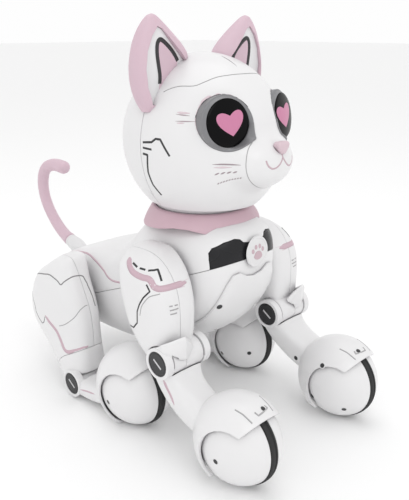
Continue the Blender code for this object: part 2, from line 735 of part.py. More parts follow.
def wheel_set(x0, y0, where, leg, wheel):
    c = (x0, y0, WHEEL_R)
    out = (1, 0, 0)
    tyre = lathe([(-3.2, 25), (-3.2, 30), (-2.2, 30.9), (2.2, 30.9), (3.2, 30), (3.2, 25)], c, out, 20, closed=True)
    pair(tyre, where + "_tyre", "rubber", wheel)
    hub = lathe([(-14, 0), (-14, 2.5), (-2.4, 2.5), (-2.4, 24.6), (2.4, 24.6), (2.4, 2.5), (14, 2.5), (14, 0)],
                c, out, 10)
    pair(hub, where + "_wheel_hub", "black", wheel)
    n = 3
    for side, word in ((1, "outer"), (-1, "inner")):
        prof = []
        if side == 1:
            prof += [(24.2, 0), (24.2, 1.7)]
            a0 = math.asin(1.7 / COVER_R)
        else:
            prof += [(COVER_X, 0)]
            a0 = 0.2
        a1 = math.acos(3.6 / COVER_X)
        for a in np.linspace(a0, a1, n + 1):
            prof.append((COVER_X * math.cos(a), COVER_R * math.sin(a)))
        prof.append((3.6, COVER_R * math.sin(a1) - 2.0))
        xi, ri = COVER_X - 2.4, COVER_R - 2.4
        b1, b0 = math.acos(3.9 / xi), math.asin(5.6 / ri)
        for a in np.linspace(b1, b0, 3)[1:]:
            prof.append((xi * math.cos(a), ri * math.sin(a)))
        prof += [(4.3, 5.6), (4.3, 2.9), (15, 2.9), (15, 0)]
        cov = lathe(prof, c, (side, 0, 0), 16)
        peg = keep(cylinder((c[0] + side * 12.0, y0, WHEEL_R), (0, 1, 0), 24.0, 34, 3.0, 6),
                   ellipsoid(c, (GUARD_IN[0] - 1.4, GUARD_IN[1] - 1.5, GUARD_IN[1] - 1.5), 16, 6))
        add(cov, peg)
        pair(cov, "%s_wheel_cover_%s" % (where, word), "white", leg)


def pin(name, x_out, x_in, at, on):
    """Hinge pin with a flat cap on each end, across X."""
    p = lathe([(x_in, 0), (x_in, 9.0), (x_in + 1.7, 9.0), (x_in + 1.7, 3.6),
               (x_out - 1.7, 3.6), (x_out - 1.7, 9.0), (x_out, 9.0), (x_out, 0)],
              (0, at[0], at[1]), (1, 0, 0), 14)
    pair(p, name, "black", on)


def split(make, x0, name, look, on, shaft):
    """Two half shells of a limb, parted across X; the inner one has the hinge shaft."""
    for word, outer in (("outer", True), ("inner", False)):
        h = make()
        a, b = (-10, x0 + 0.15) if outer else (x0 - 0.15, 150)
        cut(h, box((a, -60, -20), (b, 330, 200)))
        if not outer:
            add(h, cylinder((0, shaft[0], shaft[1]), (1, 0, 0), 33.5, x0 - 12.3, 7.0, 14))
        pair(h, "%s_%s" % (name, word), look, on)


def front_leg(base):
    sh = pivots("shoulder_pivot", (ARM_X, SHOULDER[0], SHOULDER[1]), base)
    el = pivots("elbow_pivot", (FRONT_TRACK, ELBOW[0], ELBOW[1]), sh)
    wh = pivots("front_wheel_pivot", (FRONT_TRACK, 0.0, WHEEL_R), el)
    x_o, x_i = FRONT_TRACK + 20.4, FRONT_TRACK - 20.4
    axis = (0, ELBOW[0], ELBOW[1])

    def arm():
        a = column(ARM, 0.0, 11, 14)
        cut(a, column(ARM, -WALL - 0.3, 6, 8))
        # drum for the elbow between the forearm's cheeks
        cut(a, cylinder(axis, (1, 0, 0), x_o - 6.4, x_o + 20, 12.4, 16),
            cylinder(axis, (1, 0, 0), x_i - 20, x_i + 6.4, 12.4, 16))
        add(a, cylinder(axis, (1, 0, 0), x_i + 6.8, x_o - 6.8, 11.0, 14))
        cut(a, cylinder(axis, (1, 0, 0), 0, 120, 4.1, 10))
        return a

    split(arm, ARM_X, "upper_arm", "white", sh, SHOULDER)

    f = limb(FOREARM, 7, 12)
    add(f, cylinder(axis, (1, 0, 0), x_o - 6.0, x_o, 11.6, 16), cylinder(axis, (1, 0, 0), x_i, x_i + 6.0, 11.6, 16))
    add(f, cuff(x_o, x_i))
    add(f, ellipsoid((FRONT_TRACK, 0, WHEEL_R), (GUARD_OUT[0], GUARD_OUT[1], GUARD_OUT[1]), 18, 8))
    cut(f, cylinder(axis, (1, 0, 0), x_i + 6.05, x_o - 6.05, 12.0, 16))
    cut(f, arm_room(x_i + 5.4, x_o - 5.4))
    mudguard(f, FRONT_TRACK, 0.0)
    cut(f, box((0, -60, -20), (120, 60, 11.0)))
    cut(f, cylinder(axis, (1, 0, 0), 0, 120, 4.1, 10))
    cut(f, cylinder(axis, (1, 0, 0), x_o - 2.0, x_o + 3, 9.5, 14), cylinder(axis, (1, 0, 0), x_i - 3, x_i + 2.0, 9.5, 14))
    pair(f, "forearm", "white", el)
    pin("elbow_pin", x_o - 0.1, x_i + 0.1, ELBOW, el)
    wheel_set(FRONT_TRACK, 0.0, "front", el, wh)


def mudguard(ob, x0, y0):
    """Opens the wheel space in a limb that already holds the guard's outer egg."""
    cut(ob, ellipsoid((x0, y0, WHEEL_R), (GUARD_IN[0], GUARD_IN[1], GUARD_IN[1]), 18, 8),
        guard_cut(y0, x0 - 34, x0 + 34))
    return ob


def cuff(x_o, x_i):
    """Knee guard in front of the upper arm's foot: x, y, lower z, upper z."""
    line = [(x_o - 0.3, 61.0, 69.0, 83.0), (x_o - 0.53, 54.0, 73.5, 88.0), (x_o - 6.0, 48.6, 75.0, 91.0),
            (x_o - 14.5, 45.0, 74.3, 93.0), (x_o - 22.0, 48.0, 72.0, 86.6), (x_o - 29.0, 51.6, 69.8, 80.4),
            (x_o - 36.5, 55.5, 68.0, 78.4), (x_o - 39.0, 61.0, 67.0, 77.0)]
    rings = []
    for k, dy in ((0.0, 2.4), (0.12, 0.6), (0.5, 0.2), (0.88, 0.0), (1.0, 1.4)):
        rings.append(np.array([(x, y + dy, lo + (hi - lo) * k) for x, y, lo, hi in line]))
    return loft(rings)


def arm_room(p, q):
    """Room for the upper arm's foot while the elbow bends."""
    y, z = ELBOW
    out = [(y - 12.17, z - 1.1), (y - 11.6, z + 6), (y - 7.6, z + 12), (y - 7.4, z + 26), (y + 45, z + 26), (y + 45, z - 9),
           (y + 7, z - 9.3)]
    return prism(out, 0, p, q)


def rim_line(lift=0.0):
    """Line where the foot's cup ends on the haunch (y, z), front to rear."""
    y0, z0 = ANKLE
    pts = [(120.0, 64.9 + lift), (131.0, 58.8 + lift), (178.6, 33.6 + lift)]
    r = math.hypot(178.6 - y0, 33.6 - z0) + lift
    a0 = math.atan2(33.6 - z0, 178.6 - y0)
    for a in np.linspace(a0, -0.5, 6)[1:]:
        pts.append((y0 + r * math.cos(a), z0 + r * math.sin(a)))
    return pts


def below_rim(lift):
    line = rim_line(lift)
    return prism(line + [(line[-1][0], -30), (120, -30)], 0, 0, 120)


def above_rim():
    line = rim_line(0.0)
    return prism([(120, 140)] + line + [(line[-1][0], -30), (270, -30), (270, 140)], 0, 0, 121)


def ankle_tongue(lo, hi):
    """Ankle tongue outline: down the front, round the axis, up the back."""
    y0, z0 = ANKLE
    r = 10.6
    pts = [(161.0, 58.0), (160.6, 30.0)]
    for a in np.linspace(math.pi + 0.5, 2 * math.pi - 0.3, 8):
        pts.append((y0 + r * math.cos(a), z0 + r * math.sin(a)))
    pts += [(190.0, 34.0), (194.0, 58.0)]
    return prism(pts, 0, lo, hi)


def ankle_slot(lo, hi):
    """Fork of the foot, open at the back and below."""
    return prism([(159.9, 60.0), (159.5, 30.0), (155.6, 19.0), (155.6, -9.0), (246.0, -9.0), (246.0, 60.0)], 0, lo, hi)


def rear_leg(base):
    hp = pivots("hip_pivot", (HAUNCH_X, HIP[0], HIP[1]), base)
    an = pivots("ankle_pivot", (REAR_TRACK, ANKLE[0], ANKLE[1]), hp)
    wh = pivots("rear_wheel_pivot", (REAR_TRACK, REAR_AXLE_Y, WHEEL_R), an)
    x_o, x_i = REAR_TRACK + 18.0, REAR_TRACK - 18.0
    axis = (0, ANKLE[0], ANKLE[1])

    def haunch():
        h = column(HAUNCH, 0.0, 11, 14, 2.7, 3.4)
        room = column(HAUNCH, -WALL - 0.3, 7, 8, 2.7, 3.4)
        cut(room, box((0, 100, -20), (120, 260, 54)))
        cut(h, room)
        cut(h, below_rim(0.4))
        t = ankle_tongue(x_i + 6.4, x_o - 6.4)
        cut(t, box((0, 100, 50), (120, 260, 70)))
        add(h, t)
        cut(h, cylinder(axis, (1, 0, 0), 0, 120, 4.1, 10))
        return h

    split(haunch, HAUNCH_X, "thigh", "white", hp, HIP)

    f = column(HAUNCH, 0.0, 11, 14, 2.7, 3.4)
    add(f, limb(FOOT, 6, 12))
    cut(f, above_rim())
    add(f, cylinder(axis, (1, 0, 0), x_o - 5.6, x_o, 11.4, 16), cylinder(axis, (1, 0, 0), x_i, x_i + 5.6, 11.4, 16))
    add(f, ellipsoid((REAR_TRACK, REAR_AXLE_Y, WHEEL_R), (GUARD_OUT[0], GUARD_OUT[1], GUARD_OUT[1]), 18, 8))
    mudguard(f, REAR_TRACK, REAR_AXLE_Y)
    cut(f, ankle_slot(x_i + 5.8, x_o - 5.8))
    cut(f, box((0, 60, -20), (120, 220, 1.6)))
    cut(f, cylinder(axis, (1, 0, 0), 0, 120, 4.1, 10))
    cut(f, cylinder(axis, (1, 0, 0), x_o - 2.0, x_o + 3, 9.5, 14), cylinder(axis, (1, 0, 0), x_i - 3, x_i + 2.0, 9.5, 14))
    pair(f, "foot", "white", an)
    pin("ankle_pin", x_o - 0.1, x_i + 0.1, ANKLE, an)
    wheel_set(REAR_TRACK, REAR_AXLE_Y, "rear", an, wh)


build()
print("triangles", sum(COUNT.values()), "parts", len(COUNT))
for k, n in sorted(COUNT.items(), key=lambda q: -q[1]):
    print("  %5d  %s" % (n, k))
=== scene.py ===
import json
import math

import bmesh
import bpy
import numpy as np
from mathutils import Matrix, Vector
from mathutils.bvhtree import BVHTree

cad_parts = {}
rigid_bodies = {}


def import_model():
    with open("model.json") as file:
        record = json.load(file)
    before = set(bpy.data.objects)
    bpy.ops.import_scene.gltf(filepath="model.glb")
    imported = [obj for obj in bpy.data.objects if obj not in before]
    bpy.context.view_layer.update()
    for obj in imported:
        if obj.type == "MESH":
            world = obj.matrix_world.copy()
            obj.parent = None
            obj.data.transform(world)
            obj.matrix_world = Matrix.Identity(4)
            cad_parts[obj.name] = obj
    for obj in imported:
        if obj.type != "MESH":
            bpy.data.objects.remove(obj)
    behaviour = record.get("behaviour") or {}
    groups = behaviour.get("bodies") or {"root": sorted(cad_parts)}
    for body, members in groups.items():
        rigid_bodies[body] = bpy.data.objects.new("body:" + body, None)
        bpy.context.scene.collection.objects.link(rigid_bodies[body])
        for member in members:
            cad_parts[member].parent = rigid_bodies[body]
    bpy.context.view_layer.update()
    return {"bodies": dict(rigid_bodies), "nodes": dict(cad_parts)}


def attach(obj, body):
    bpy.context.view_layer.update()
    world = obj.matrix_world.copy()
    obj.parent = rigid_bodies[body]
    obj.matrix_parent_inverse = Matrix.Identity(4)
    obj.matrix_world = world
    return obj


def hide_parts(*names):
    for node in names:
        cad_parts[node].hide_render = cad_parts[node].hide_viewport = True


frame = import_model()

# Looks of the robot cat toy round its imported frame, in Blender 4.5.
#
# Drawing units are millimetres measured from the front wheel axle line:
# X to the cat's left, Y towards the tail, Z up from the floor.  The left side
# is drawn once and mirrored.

# ------------------------------------------------------------------ sizes (mm)
Y_REF = 146.95           # front axle line to the middle of the overall length
GAP = 0.35               # assembly gap between touching pieces
WALL = 2.2               # moulded wall thickness

FRONT_TRACK = 58.6       # wheel plane from the centre line, front
REAR_TRACK = 62.0        # wheel plane from the centre line, rear
WHEEL_R = 30.9           # tyre outer radius
REAR_AXLE_Y = 104.1      # wheel base
TYRE_W = 6.4
COVER_R = 30.0           # wheel cover radius at the tyre
COVER_X = 26.0           # wheel cover apex from the wheel plane
GUARD_IN = (27.2, 32.2)  # mudguard inner half axes (across, radial)
GUARD_OUT = (29.2, 34.2)

ELBOW = (59.3, 72.3)     # (y, z)
ANKLE = (167.2, 13.3)
SHOULDER = (92.0, 115.3)
HIP = (190.0, 75.1)
BELLY_Z = 37.0           # flat of the belly round the battery hatch
SEAM_Z0, SEAM_SLOPE = 153.0, -0.41   # body seam plane z = SEAM_Z0 + SEAM_SLOPE*y

HEAD_C = (0.0, 93.1, 214.4)
HEAD_R = (56.7, 61.9, 61.0)
HEAD_SEAM_Y = 97.0
HEAD_CUT_Z = 170.0
NECK = (0.0, 95.1)       # head turning axis (x, y)
EYE = (27.4, 45.3, 232.8)   # middle of the lens
EYE_NORMAL = (0.30, -0.94, 0.15)
EYE_R = 15.4
BEZEL_R = 18.3
TAIL_BASE = (0.0, 277.0, 94.8)
TAIL_AXIS = (0.0, 0.956, 0.294)

# torso stations: y, top z, bottom z, half width, roundness of the upper half
TORSO = [
    (40.5, 140.0, 138.6, 0.6, 2.3),
    (41.3, 146.5, 131.0, 10.5, 2.3),
    (43.2, 151.5, 119.0, 20.0, 2.4),
    (47.0, 155.6, 105.0, 28.0, 2.6),
    (53.0, 158.6, 92.0, 34.5, 2.8),
    (62.0, 160.6, 80.5, 39.0, 3.0),
    (75.0, 161.4, 69.5, 41.0, 3.2),
    (95.0, 161.5, 57.5, 41.3, 3.3),
    (115.0, 159.5, 47.0, 41.3, 3.2),
    (130.0, 152.5, 41.5, 41.2, 3.0),
    (140.0, 143.0, 39.0, 41.2, 2.9),
    (150.0, 133.0, 37.5, 41.2, 3.0),
    (160.0, 124.6, 36.5, 41.2, 3.3),
    (172.0, 119.6, 36.0, 41.3, 3.9),
    (186.0, 117.2, 35.6, 41.3, 4.4),
    (202.0, 113.6, 36.0, 41.3, 4.6),
    (218.0, 108.2, 38.0, 40.8, 4.5),
    (233.0, 102.2, 42.0, 39.0, 4.2),
    (247.0, 96.0, 47.5, 35.0, 3.6),
    (258.0, 89.6, 53.5, 28.0, 3.0),
    (266.0, 82.6, 59.0, 18.5, 2.6),
    (270.5, 75.5, 64.0, 9.0, 2.3),
    (271.8, 70.5, 69.0, 0.6, 2.3),
]
# upper arm stations: z, front y, rear y, middle x, half width across
ARM = [
    (146.3, 90.0, 96.0, 49.5, 1.0),
    (145.2, 82.0, 103.0, 51.2, 6.8),
    (142.0, 74.5, 107.5, 54.0, 11.2),
    (137.0, 67.6, 110.0, 57.2, 14.8),
    (131.0, 62.0, 110.4, 59.4, 17.0),
    (123.0, 57.5, 108.6, 60.8, 18.3),
    (114.0, 55.2, 106.0, 61.2, 18.9),
    (105.0, 54.3, 103.3, 61.2, 18.8),
    (97.0, 54.3, 100.5, 61.2, 18.5),
    (90.0, 54.6, 97.0, 61.2, 18.0),
    (84.0, 55.2, 92.5, 61.2, 17.2),
    (78.0, 56.4, 87.5, 61.2, 16.0),
    (72.0, 58.5, 82.0, 61.0, 14.0),
    (67.5, 62.0, 76.5, 60.6, 10.0),
    (65.5, 67.5, 70.5, 60.2, 1.0),
]
ARM_X = 61.2
# haunch stations: z, front y, rear y, middle x, half width across
HAUNCH = [
    (114.6, 188.0, 195.0, 53.0, 1.5),
    (113.6, 184.0, 198.5, 54.6, 9.0),
    (110.0, 180.5, 203.5, 57.0, 11.6),
    (104.0, 177.0, 212.0, 59.0, 13.4),
    (97.0, 173.5, 222.0, 60.4, 14.8),
    (89.0, 169.4, 228.6, 61.2, 15.9),
    (80.0, 165.0, 233.2, 61.6, 16.3),
    (70.0, 162.0, 236.8, 61.6, 16.4),
    (60.0, 160.8, 237.2, 61.6, 16.4),
    (52.0, 160.4, 233.4, 61.6, 16.4),
    (44.0, 160.4, 224.0, 61.6, 16.4),
    (36.0, 160.2, 212.4, 61.6, 16.4),
    (28.0, 160.0, 202.0, 61.8, 16.6),
    (20.0, 159.4, 193.0, 61.9, 17.0),
    (12.0, 159.5, 184.5, 62.0, 17.5),
    (6.0, 162.5, 178.0, 62.0, 17.0),
    (3.6, 168.0, 172.0, 62.0, 16.0),
]
HAUNCH_X = 60.2
# forearm and foot centre lines: y, z, half thickness, middle x, half width
FOREARM = [
    (61.0, 70.0, 8.0, 58.8, 19.4),
    (59.2, 62.0, 10.6, 59.4, 18.0),
    (53.5, 53.2, 11.4, 60.6, 15.6),
    (44.5, 46.0, 11.6, 61.4, 14.8),
    (34.0, 41.0, 11.6, 61.4, 14.8),
    (24.0, 38.0, 11.0, 61.4, 14.8),
]
FOOT = [
    (172.0, 12.6, 9.5, 62.0, 17.5),
    (160.0, 11.6, 8.8, 62.0, 17.7),
    (148.0, 11.6, 8.2, 62.0, 17.5),
    (136.0, 13.6, 8.6, 62.0, 17.0),
    (128.0, 16.5, 9.0, 62.0, 16.5),
]
# tail centre line (y, z) and radius
TAIL = [
    (277.9, 95.1, 6.3), (284.0, 97.2, 5.7), (291.0, 100.8, 5.5),
    (299.5, 107.0, 5.4), (308.0, 115.3, 5.3), (314.6, 124.5, 5.3),
    (318.6, 134.5, 5.3), (319.4, 145.0, 5.4), (316.6, 154.6, 5.5),
    (310.0, 161.8, 5.7), (301.0, 165.4, 5.9), (291.0, 166.6, 6.1),
    (281.0, 166.0, 6.3),
]
# mudguard side line (y forward of the axle is negative, z above the floor)
GUARD_EDGE = [
    (-23.0, 72.0), (-22.4, 57.2), (-16.5, 49.4), (-10.0, 51.2), (-4.5, 50.9),
    (0.5, 49.2), (5.0, 46.0), (8.6, 41.6), (11.0, 35.8), (11.8, 30.0),
    (11.2, 23.5), (9.2, 17.5), (6.0, 12.0), (4.0, 6.0),
]



EAR = [  # z, outer x, inner x, half depth, middle y
    (238.0, 54.5, 40.0, 5.0, 95.5),
    (243.0, 57.0, 34.0, 9.0, 96.0),
    (250.0, 59.8, 28.0, 11.0, 96.5),
    (258.0, 61.4, 22.0, 12.0, 97.0),
    (266.0, 61.8, 17.0, 12.2, 97.2),
    (274.0, 61.0, 15.5, 11.4, 97.2),
    (281.0, 59.4, 20.5, 10.0, 97.0),
    (288.0, 56.6, 28.5, 8.2, 96.6),
    (294.0, 53.0, 36.0, 6.0, 96.0),
    (298.5, 49.0, 42.0, 3.4, 95.4),
    (300.0, 46.0, 45.0, 0.8, 95.0),
]


# ------------------------------------------------------------------- helpers
def smooth(table, n):
    """n rows along a Catmull-Rom curve through the rows of a table."""
    p = np.array(table, float)
    p = np.vstack([2 * p[0] - p[1], p, 2 * p[-1] - p[-2]])
    m = len(p) - 3
    out = []
    for t in np.linspace(0, m, n):
        i = min(int(t), m - 1)
        f = t - i
        a, b, c, d = p[i:i + 4]
        out.append(0.5 * (2 * b + (c - a) * f + (2 * a - 5 * b + 4 * c - d) * f * f
                          + (3 * b - 3 * c + d - a) * f ** 3))
    return np.array(out)


def oval(n, power):
    """Unit superellipse, n points, with its own roundness above and below."""
    t = np.linspace(0, 2 * math.pi, n, endpoint=False)
    c, s = np.cos(t), np.sin(t)
    p = np.where(s >= 0, power[0], power[1])
    return (np.sign(c) * np.abs(c) ** (2 / p), np.sign(s) * np.abs(s) ** (2 / p))


def flat_faces(v, faces):
    """Splits the quads that are not flat, so that every face lies in a plane."""
    out = []
    for f in faces:
        if len(f) == 4:
            p, q, r, s = (v[i] for i in f)
            n = np.cross(r - p, s - q)
            if abs(float(np.dot(n, q - p))) > 1e-7 * max(float(np.linalg.norm(n)), 1e-12):
                if np.linalg.norm(r - p) <= np.linalg.norm(s - q):
                    out += [(f[0], f[1], f[2]), (f[0], f[2], f[3])]
                else:
                    out += [(f[0], f[1], f[3]), (f[1], f[2], f[3])]
                continue
        out.append(tuple(f))
    return out


def mesh(verts, faces):
    me = bpy.data.meshes.new("m")
    v = np.array(verts, float) * 0.001
    faces = flat_faces(v, faces)
    v[:, 1] -= Y_REF * 0.001
    me.from_pydata([tuple(q) for q in v], [], faces)
    me.validate()
    ob = bpy.data.objects.new("work", me)
    bpy.context.collection.objects.link(ob)
    return outward(ob)


def outward(ob):
    """Turns the faces so that the enclosed volume is positive."""
    me = ob.data
    vol = 0.0
    co = np.array([v.co[:] for v in me.vertices])
    mid = co.mean(0)
    for p in me.polygons:
        q = co[list(p.vertices)] - mid
        for i in range(1, len(q) - 1):
            vol += float(np.dot(q[0], np.cross(q[i], q[i + 1])))
    if vol < 0:
        me.flip_normals()
    return ob


def loft(rings):
    """Closed solid through rings of equal size, each end closed at its middle."""
    n = len(rings[0])
    v = [tuple(p) for r in rings for p in r]
    f = []
    for i in range(len(rings) - 1):
        for j in range(n):
            k = (j + 1) % n
            f.append((i * n + j, i * n + k, (i + 1) * n + k, (i + 1) * n + j))
    for base, flip in ((0, False), ((len(rings) - 1) * n, True)):
        c = len(v)
        v.append(tuple(np.mean(rings[0 if base == 0 else -1], axis=0)))
        for j in range(n):
            k = (j + 1) % n
            f.append((c, base + k, base + j) if not flip else (c, base + j, base + k))
    return mesh(v, f)


def lathe(profile, centre, axis, seg=24, closed=False):
    """Turned solid. profile is (along, radius); an open one starts and ends on the axis."""
    a = np.array(axis, float)
    a /= np.linalg.norm(a)
    u = np.cross(a, (0.0, 0.0, 1.0) if abs(a[2]) < 0.9 else (1.0, 0.0, 0.0))
    u /= np.linalg.norm(u)
    w = np.cross(a, u)
    c = np.array(centre, float)
    v, f, rows = [], [], []
    for s, r in profile:
        if r < 1e-6:
            rows.append([len(v)] * seg)
            v.append(tuple(c + a * s))
        else:
            rows.append([len(v) + j for j in range(seg)])
            for j in range(seg):
                t = 2 * math.pi * j / seg
                v.append(tuple(c + a * s + r * (u * math.cos(t) + w * math.sin(t))))
    pairs = list(zip(rows[:-1], rows[1:]))
    if closed:
        pairs.append((rows[-1], rows[0]))
    for p, q in pairs:
        for j in range(seg):
            k = (j + 1) % seg
            face = []
            for i in (p[j], p[k], q[k], q[j]):
                if i not in face:
                    face.append(i)
            if len(face) > 2:
                f.append(tuple(face))
    return mesh(v, f)


def cylinder(centre, axis, lo, hi, r, seg=24):
    return lathe([(lo, 0), (lo, r), (hi, r), (hi, 0)], centre, axis, seg)


def prism(outline, axis, lo, hi):
    """Outline in the plane across one axis, pushed from lo to hi along it."""
    other = [i for i in range(3) if i != axis]
    v = []
    for s in (lo, hi):
        for p in outline:
            q = [0.0, 0.0, 0.0]
            q[axis], q[other[0]], q[other[1]] = s, p[0], p[1]
            v.append(tuple(q))
    n = len(outline)
    f = [tuple(range(n)), tuple(range(2 * n - 1, n - 1, -1))]
    f += [(j, n + j, n + (j + 1) % n, (j + 1) % n) for j in range(n)]
    return mesh(v, f)


def box(lo, hi):
    return prism([(lo[1], lo[2]), (hi[1], lo[2]), (hi[1], hi[2]), (lo[1], hi[2])], 0, lo[0], hi[0])


def ellipsoid(centre, radii, seg=24, rings=12):
    """Ellipsoid with its poles along X."""
    rows = []
    for i in range(1, rings):
        t = math.pi * i / rings
        x, r = math.cos(t), math.sin(t)
        rows.append([(centre[0] + radii[0] * x,
                      centre[1] + radii[1] * r * math.cos(2 * math.pi * j / seg),
                      centre[2] + radii[2] * r * math.sin(2 * math.pi * j / seg)) for j in range(seg)])
    n = seg
    v = [p for r in rows for p in r]
    v += [(centre[0] + radii[0], centre[1], centre[2]), (centre[0] - radii[0], centre[1], centre[2])]
    f = []
    for i in range(len(rows) - 1):
        for j in range(n):
            k = (j + 1) % n
            f.append((i * n + j, i * n + k, (i + 1) * n + k, (i + 1) * n + j))
    last = (len(rows) - 1) * n
    for j in range(n):
        k = (j + 1) % n
        f.append((len(v) - 2, k, j))
        f.append((len(v) - 1, last + j, last + k))
    return mesh(v, f)


def boolean(ob, tool, how):
    """Applies one exact Boolean with a tool that is used up."""
    m = ob.modifiers.new("b", "BOOLEAN")
    m.operation = how
    m.solver = "EXACT"
    m.object = tool
    dg = bpy.context.evaluated_depsgraph_get()
    dg.update()
    me = bpy.data.meshes.new_from_object(ob.evaluated_get(dg))
    ob.modifiers.clear()
    old = ob.data
    ob.data = me
    bpy.data.meshes.remove(old)
    bpy.data.objects.remove(tool, do_unlink=True)
    return ob


def cut(ob, *tools):
    for t in tools:
        boolean(ob, t, "DIFFERENCE")
    return ob


def add(ob, *tools):
    for t in tools:
        boolean(ob, t, "UNION")
    return ob


def keep(ob, *tools):
    for t in tools:
        boolean(ob, t, "INTERSECT")
    return ob


def torso(off=0.0, rings=26, seg=32):
    """Body egg through the torso stations, grown or shrunk by off."""
    out = []
    for y, zt, zb, w, pw in smooth(TORSO, rings):
        s = max(-1.0, min(1.0, (y - 156.0) / 116.0))
        cx, cz = oval(seg, (pw, 2.4))
        w = max(w + off, 0.25)
        zt2, zb2 = zt + off, zb - off
        if zt2 - zb2 < 0.5:
            mid = 0.5 * (zt2 + zb2)
            zt2, zb2 = mid + 0.25, mid - 0.25
        zc, h = 0.5 * (zt2 + zb2), 0.5 * (zt2 - zb2)
        out.append(np.stack([w * cx, np.full(seg, y + off * s ** 3), zc + h * cz], 1))
    return loft(out)


def below_seam(extra=0.0):
    """Everything under the body seam plane."""
    z0, k = SEAM_Z0 + extra, SEAM_SLOPE
    return prism([(-10, z0 - 10 * k), (300, z0 + 300 * k), (300, -60), (-10, -60)], 0, -90, 90)


def above_seam(extra=0.0):
    z0, k = SEAM_Z0 + extra, SEAM_SLOPE
    return prism([(-10, z0 - 10 * k), (-10, 260), (300, 260), (300, z0 + 300 * k)], 0, -90, 90)


def column(table, off=0.0, rings=16, seg=22, power=2.7, inner=5.0):
    """Upright limb through its stations; the face towards the body is flatter."""
    out = []
    tips = (table[0][0], table[-1][0])
    t = np.linspace(0, 2 * math.pi, seg, endpoint=False)
    c, q = np.cos(t), np.sin(t)
    pw = np.where(c >= 0, power, inner)
    cx = np.sign(c) * np.abs(c) ** (2 / pw)
    cy = np.sign(q) * np.abs(q) ** (2 / pw)
    for z, yf, yr, xm, hx in smooth(table, rings):
        k = (z - tips[1]) / (tips[0] - tips[1])
        hx2 = max(hx + off, 0.3)
        hy = max(0.5 * (yr - yf) + off, 0.3)
        out.append(np.stack([xm + hx2 * cx, 0.5 * (yf + yr) + hy * cy, np.full(seg, z + off * (2 * k - 1))], 1))
    return loft(out)


def limb(table, rings=10, seg=20, power=3.0):
    """Limb along a centre line in the side plane."""
    rows = smooth(table, rings)
    out = []
    for i, (y, z, ht, xm, hx) in enumerate(rows):
        a, b = rows[max(i - 1, 0)], rows[min(i + 1, len(rows) - 1)]
        d = np.array([b[0] - a[0], b[1] - a[1]])
        d /= np.linalg.norm(d)
        cx, cn = oval(seg, (power, power))
        out.append(np.stack([xm + hx * cx, y - d[1] * ht * cn, z + d[0] * ht * cn], 1))
    return loft(out)


def guard_cut(y0, lo, hi):
    edge = [(y0 + y, z) for y, z in GUARD_EDGE]
    return prism(edge + [(y0 + 4.0, -12.0), (y0 - 60.0, -12.0), (y0 - 60.0, 72.0)], 0, lo, hi)


def head_dirs(rings, seg, lo, hi):
    out = []
    for t in np.linspace(lo, hi, rings):
        ring = []
        for j in range(seg):
            a = 2 * math.pi * j / seg
            ring.append((math.sin(t) * math.cos(a), -math.cos(t), math.sin(t) * math.sin(a)))
        out.append(ring)
    return np.array(out)


def head_field(p):
    """Negative inside the head: an egg with a soft muzzle and cheeks."""
    def egg(c, r):
        q = (p - np.array(c)) / np.array(r)
        k = np.sqrt((q * q).sum(-1))
        return (k - 1) * min(r)

    def soft(a, b, k):
        h = np.clip(0.5 + 0.5 * (b - a) / k, 0, 1)
        return b * (1 - h) + a * h - k * h * (1 - h)

    skull = egg(HEAD_C, HEAD_R)
    muzzle = egg((0.0, 40.6, 206.0), (26.6, 22.0, 19.4))
    return soft(skull, muzzle, 6.0)


def head_skin(off, rings, seg, lo, hi, centre_y):
    """Rings of the head surface seen from its middle, from the nose pole back."""
    c = np.array([0.0, centre_y, 212.0])
    d = head_dirs(rings, seg, lo, hi)
    a = np.full(d.shape[:2], 20.0)
    b = np.full(d.shape[:2], 110.0)
    for _ in range(34):
        m = 0.5 * (a + b)
        inside = head_field(c + d * m[..., None]) < 0
        a = np.where(inside, m, a)
        b = np.where(inside, b, m)
    return c + d * (a[..., None] + off)


def window_outline(grow):
    half = [(0, 147.5), (7.0, 147.8), (11.0, 148.4), (13.0, 150.6), (17.0, 151.4), (24.0, 149.6), (31.0, 146.0),
            (33.2, 142.6), (33.8, 138.5), (33.9, 128.0)]
    g = grow
    right = [(x + (g if x > 20 else -g if x > 8 else 0), z + (g if z > 140 else 0)) for x, z in half]
    return [(-x, z) for x, z in right[::-1][:-1]] + right


def plate_outline():
    half = [(0, 121.5), (8, 123.0), (15, 127.0), (20.5, 126.0), (24.5, 119.0), (28.0, 107.0), (30.0, 96.0),
            (31.5, 84.0), (30.0, 72.0), (24.0, 60.0)]
    return [(-x, z) for x, z in half[::-1][:-1]] + half + [(0, 60.0)]


def eye_dir(s):
    d = np.array([s * EYE_NORMAL[0], EYE_NORMAL[1], EYE_NORMAL[2]])
    return tuple(d / np.linalg.norm(d))


def eye_at(s):
    return (s * EYE[0], EYE[1], EYE[2])


def ear_solid(rings=11, seg=14):
    out = []
    for z, xo, xi, hd, ym in smooth(EAR, rings):
        cx, cy = oval(seg, (2.2, 2.6))
        xm, hx = 0.5 * (xo + xi), 0.5 * (xo - xi)
        out.append(np.stack([xm + hx * cx, ym + hd * cy, np.full(seg, z)], 1))
    return loft(out)


def ear_mouth(grow):
    """Opening of the ear seen from the front."""
    pts = [(50.5, 246.0), (54.0, 256.0), (54.8, 266.0), (53.0, 276.0), (49.0, 284.5), (44.5, 289.5), (41.0, 288.0),
           (34.5, 281.0), (27.0, 273.5), (22.0, 268.0), (20.0, 258.0), (30.0, 246.0)]
    c = np.array(pts).mean(0)
    return [tuple(c + (np.array(p) - c) * (1 + grow / 18.0)) for p in pts]


def head_egg(off, rings=17, seg=20):
    """Whole head skin as one solid, grown by off."""
    r = head_skin(off, rings, seg, 0.02, math.pi - 0.02, HEAD_SEAM_Y)
    return loft(list(r))


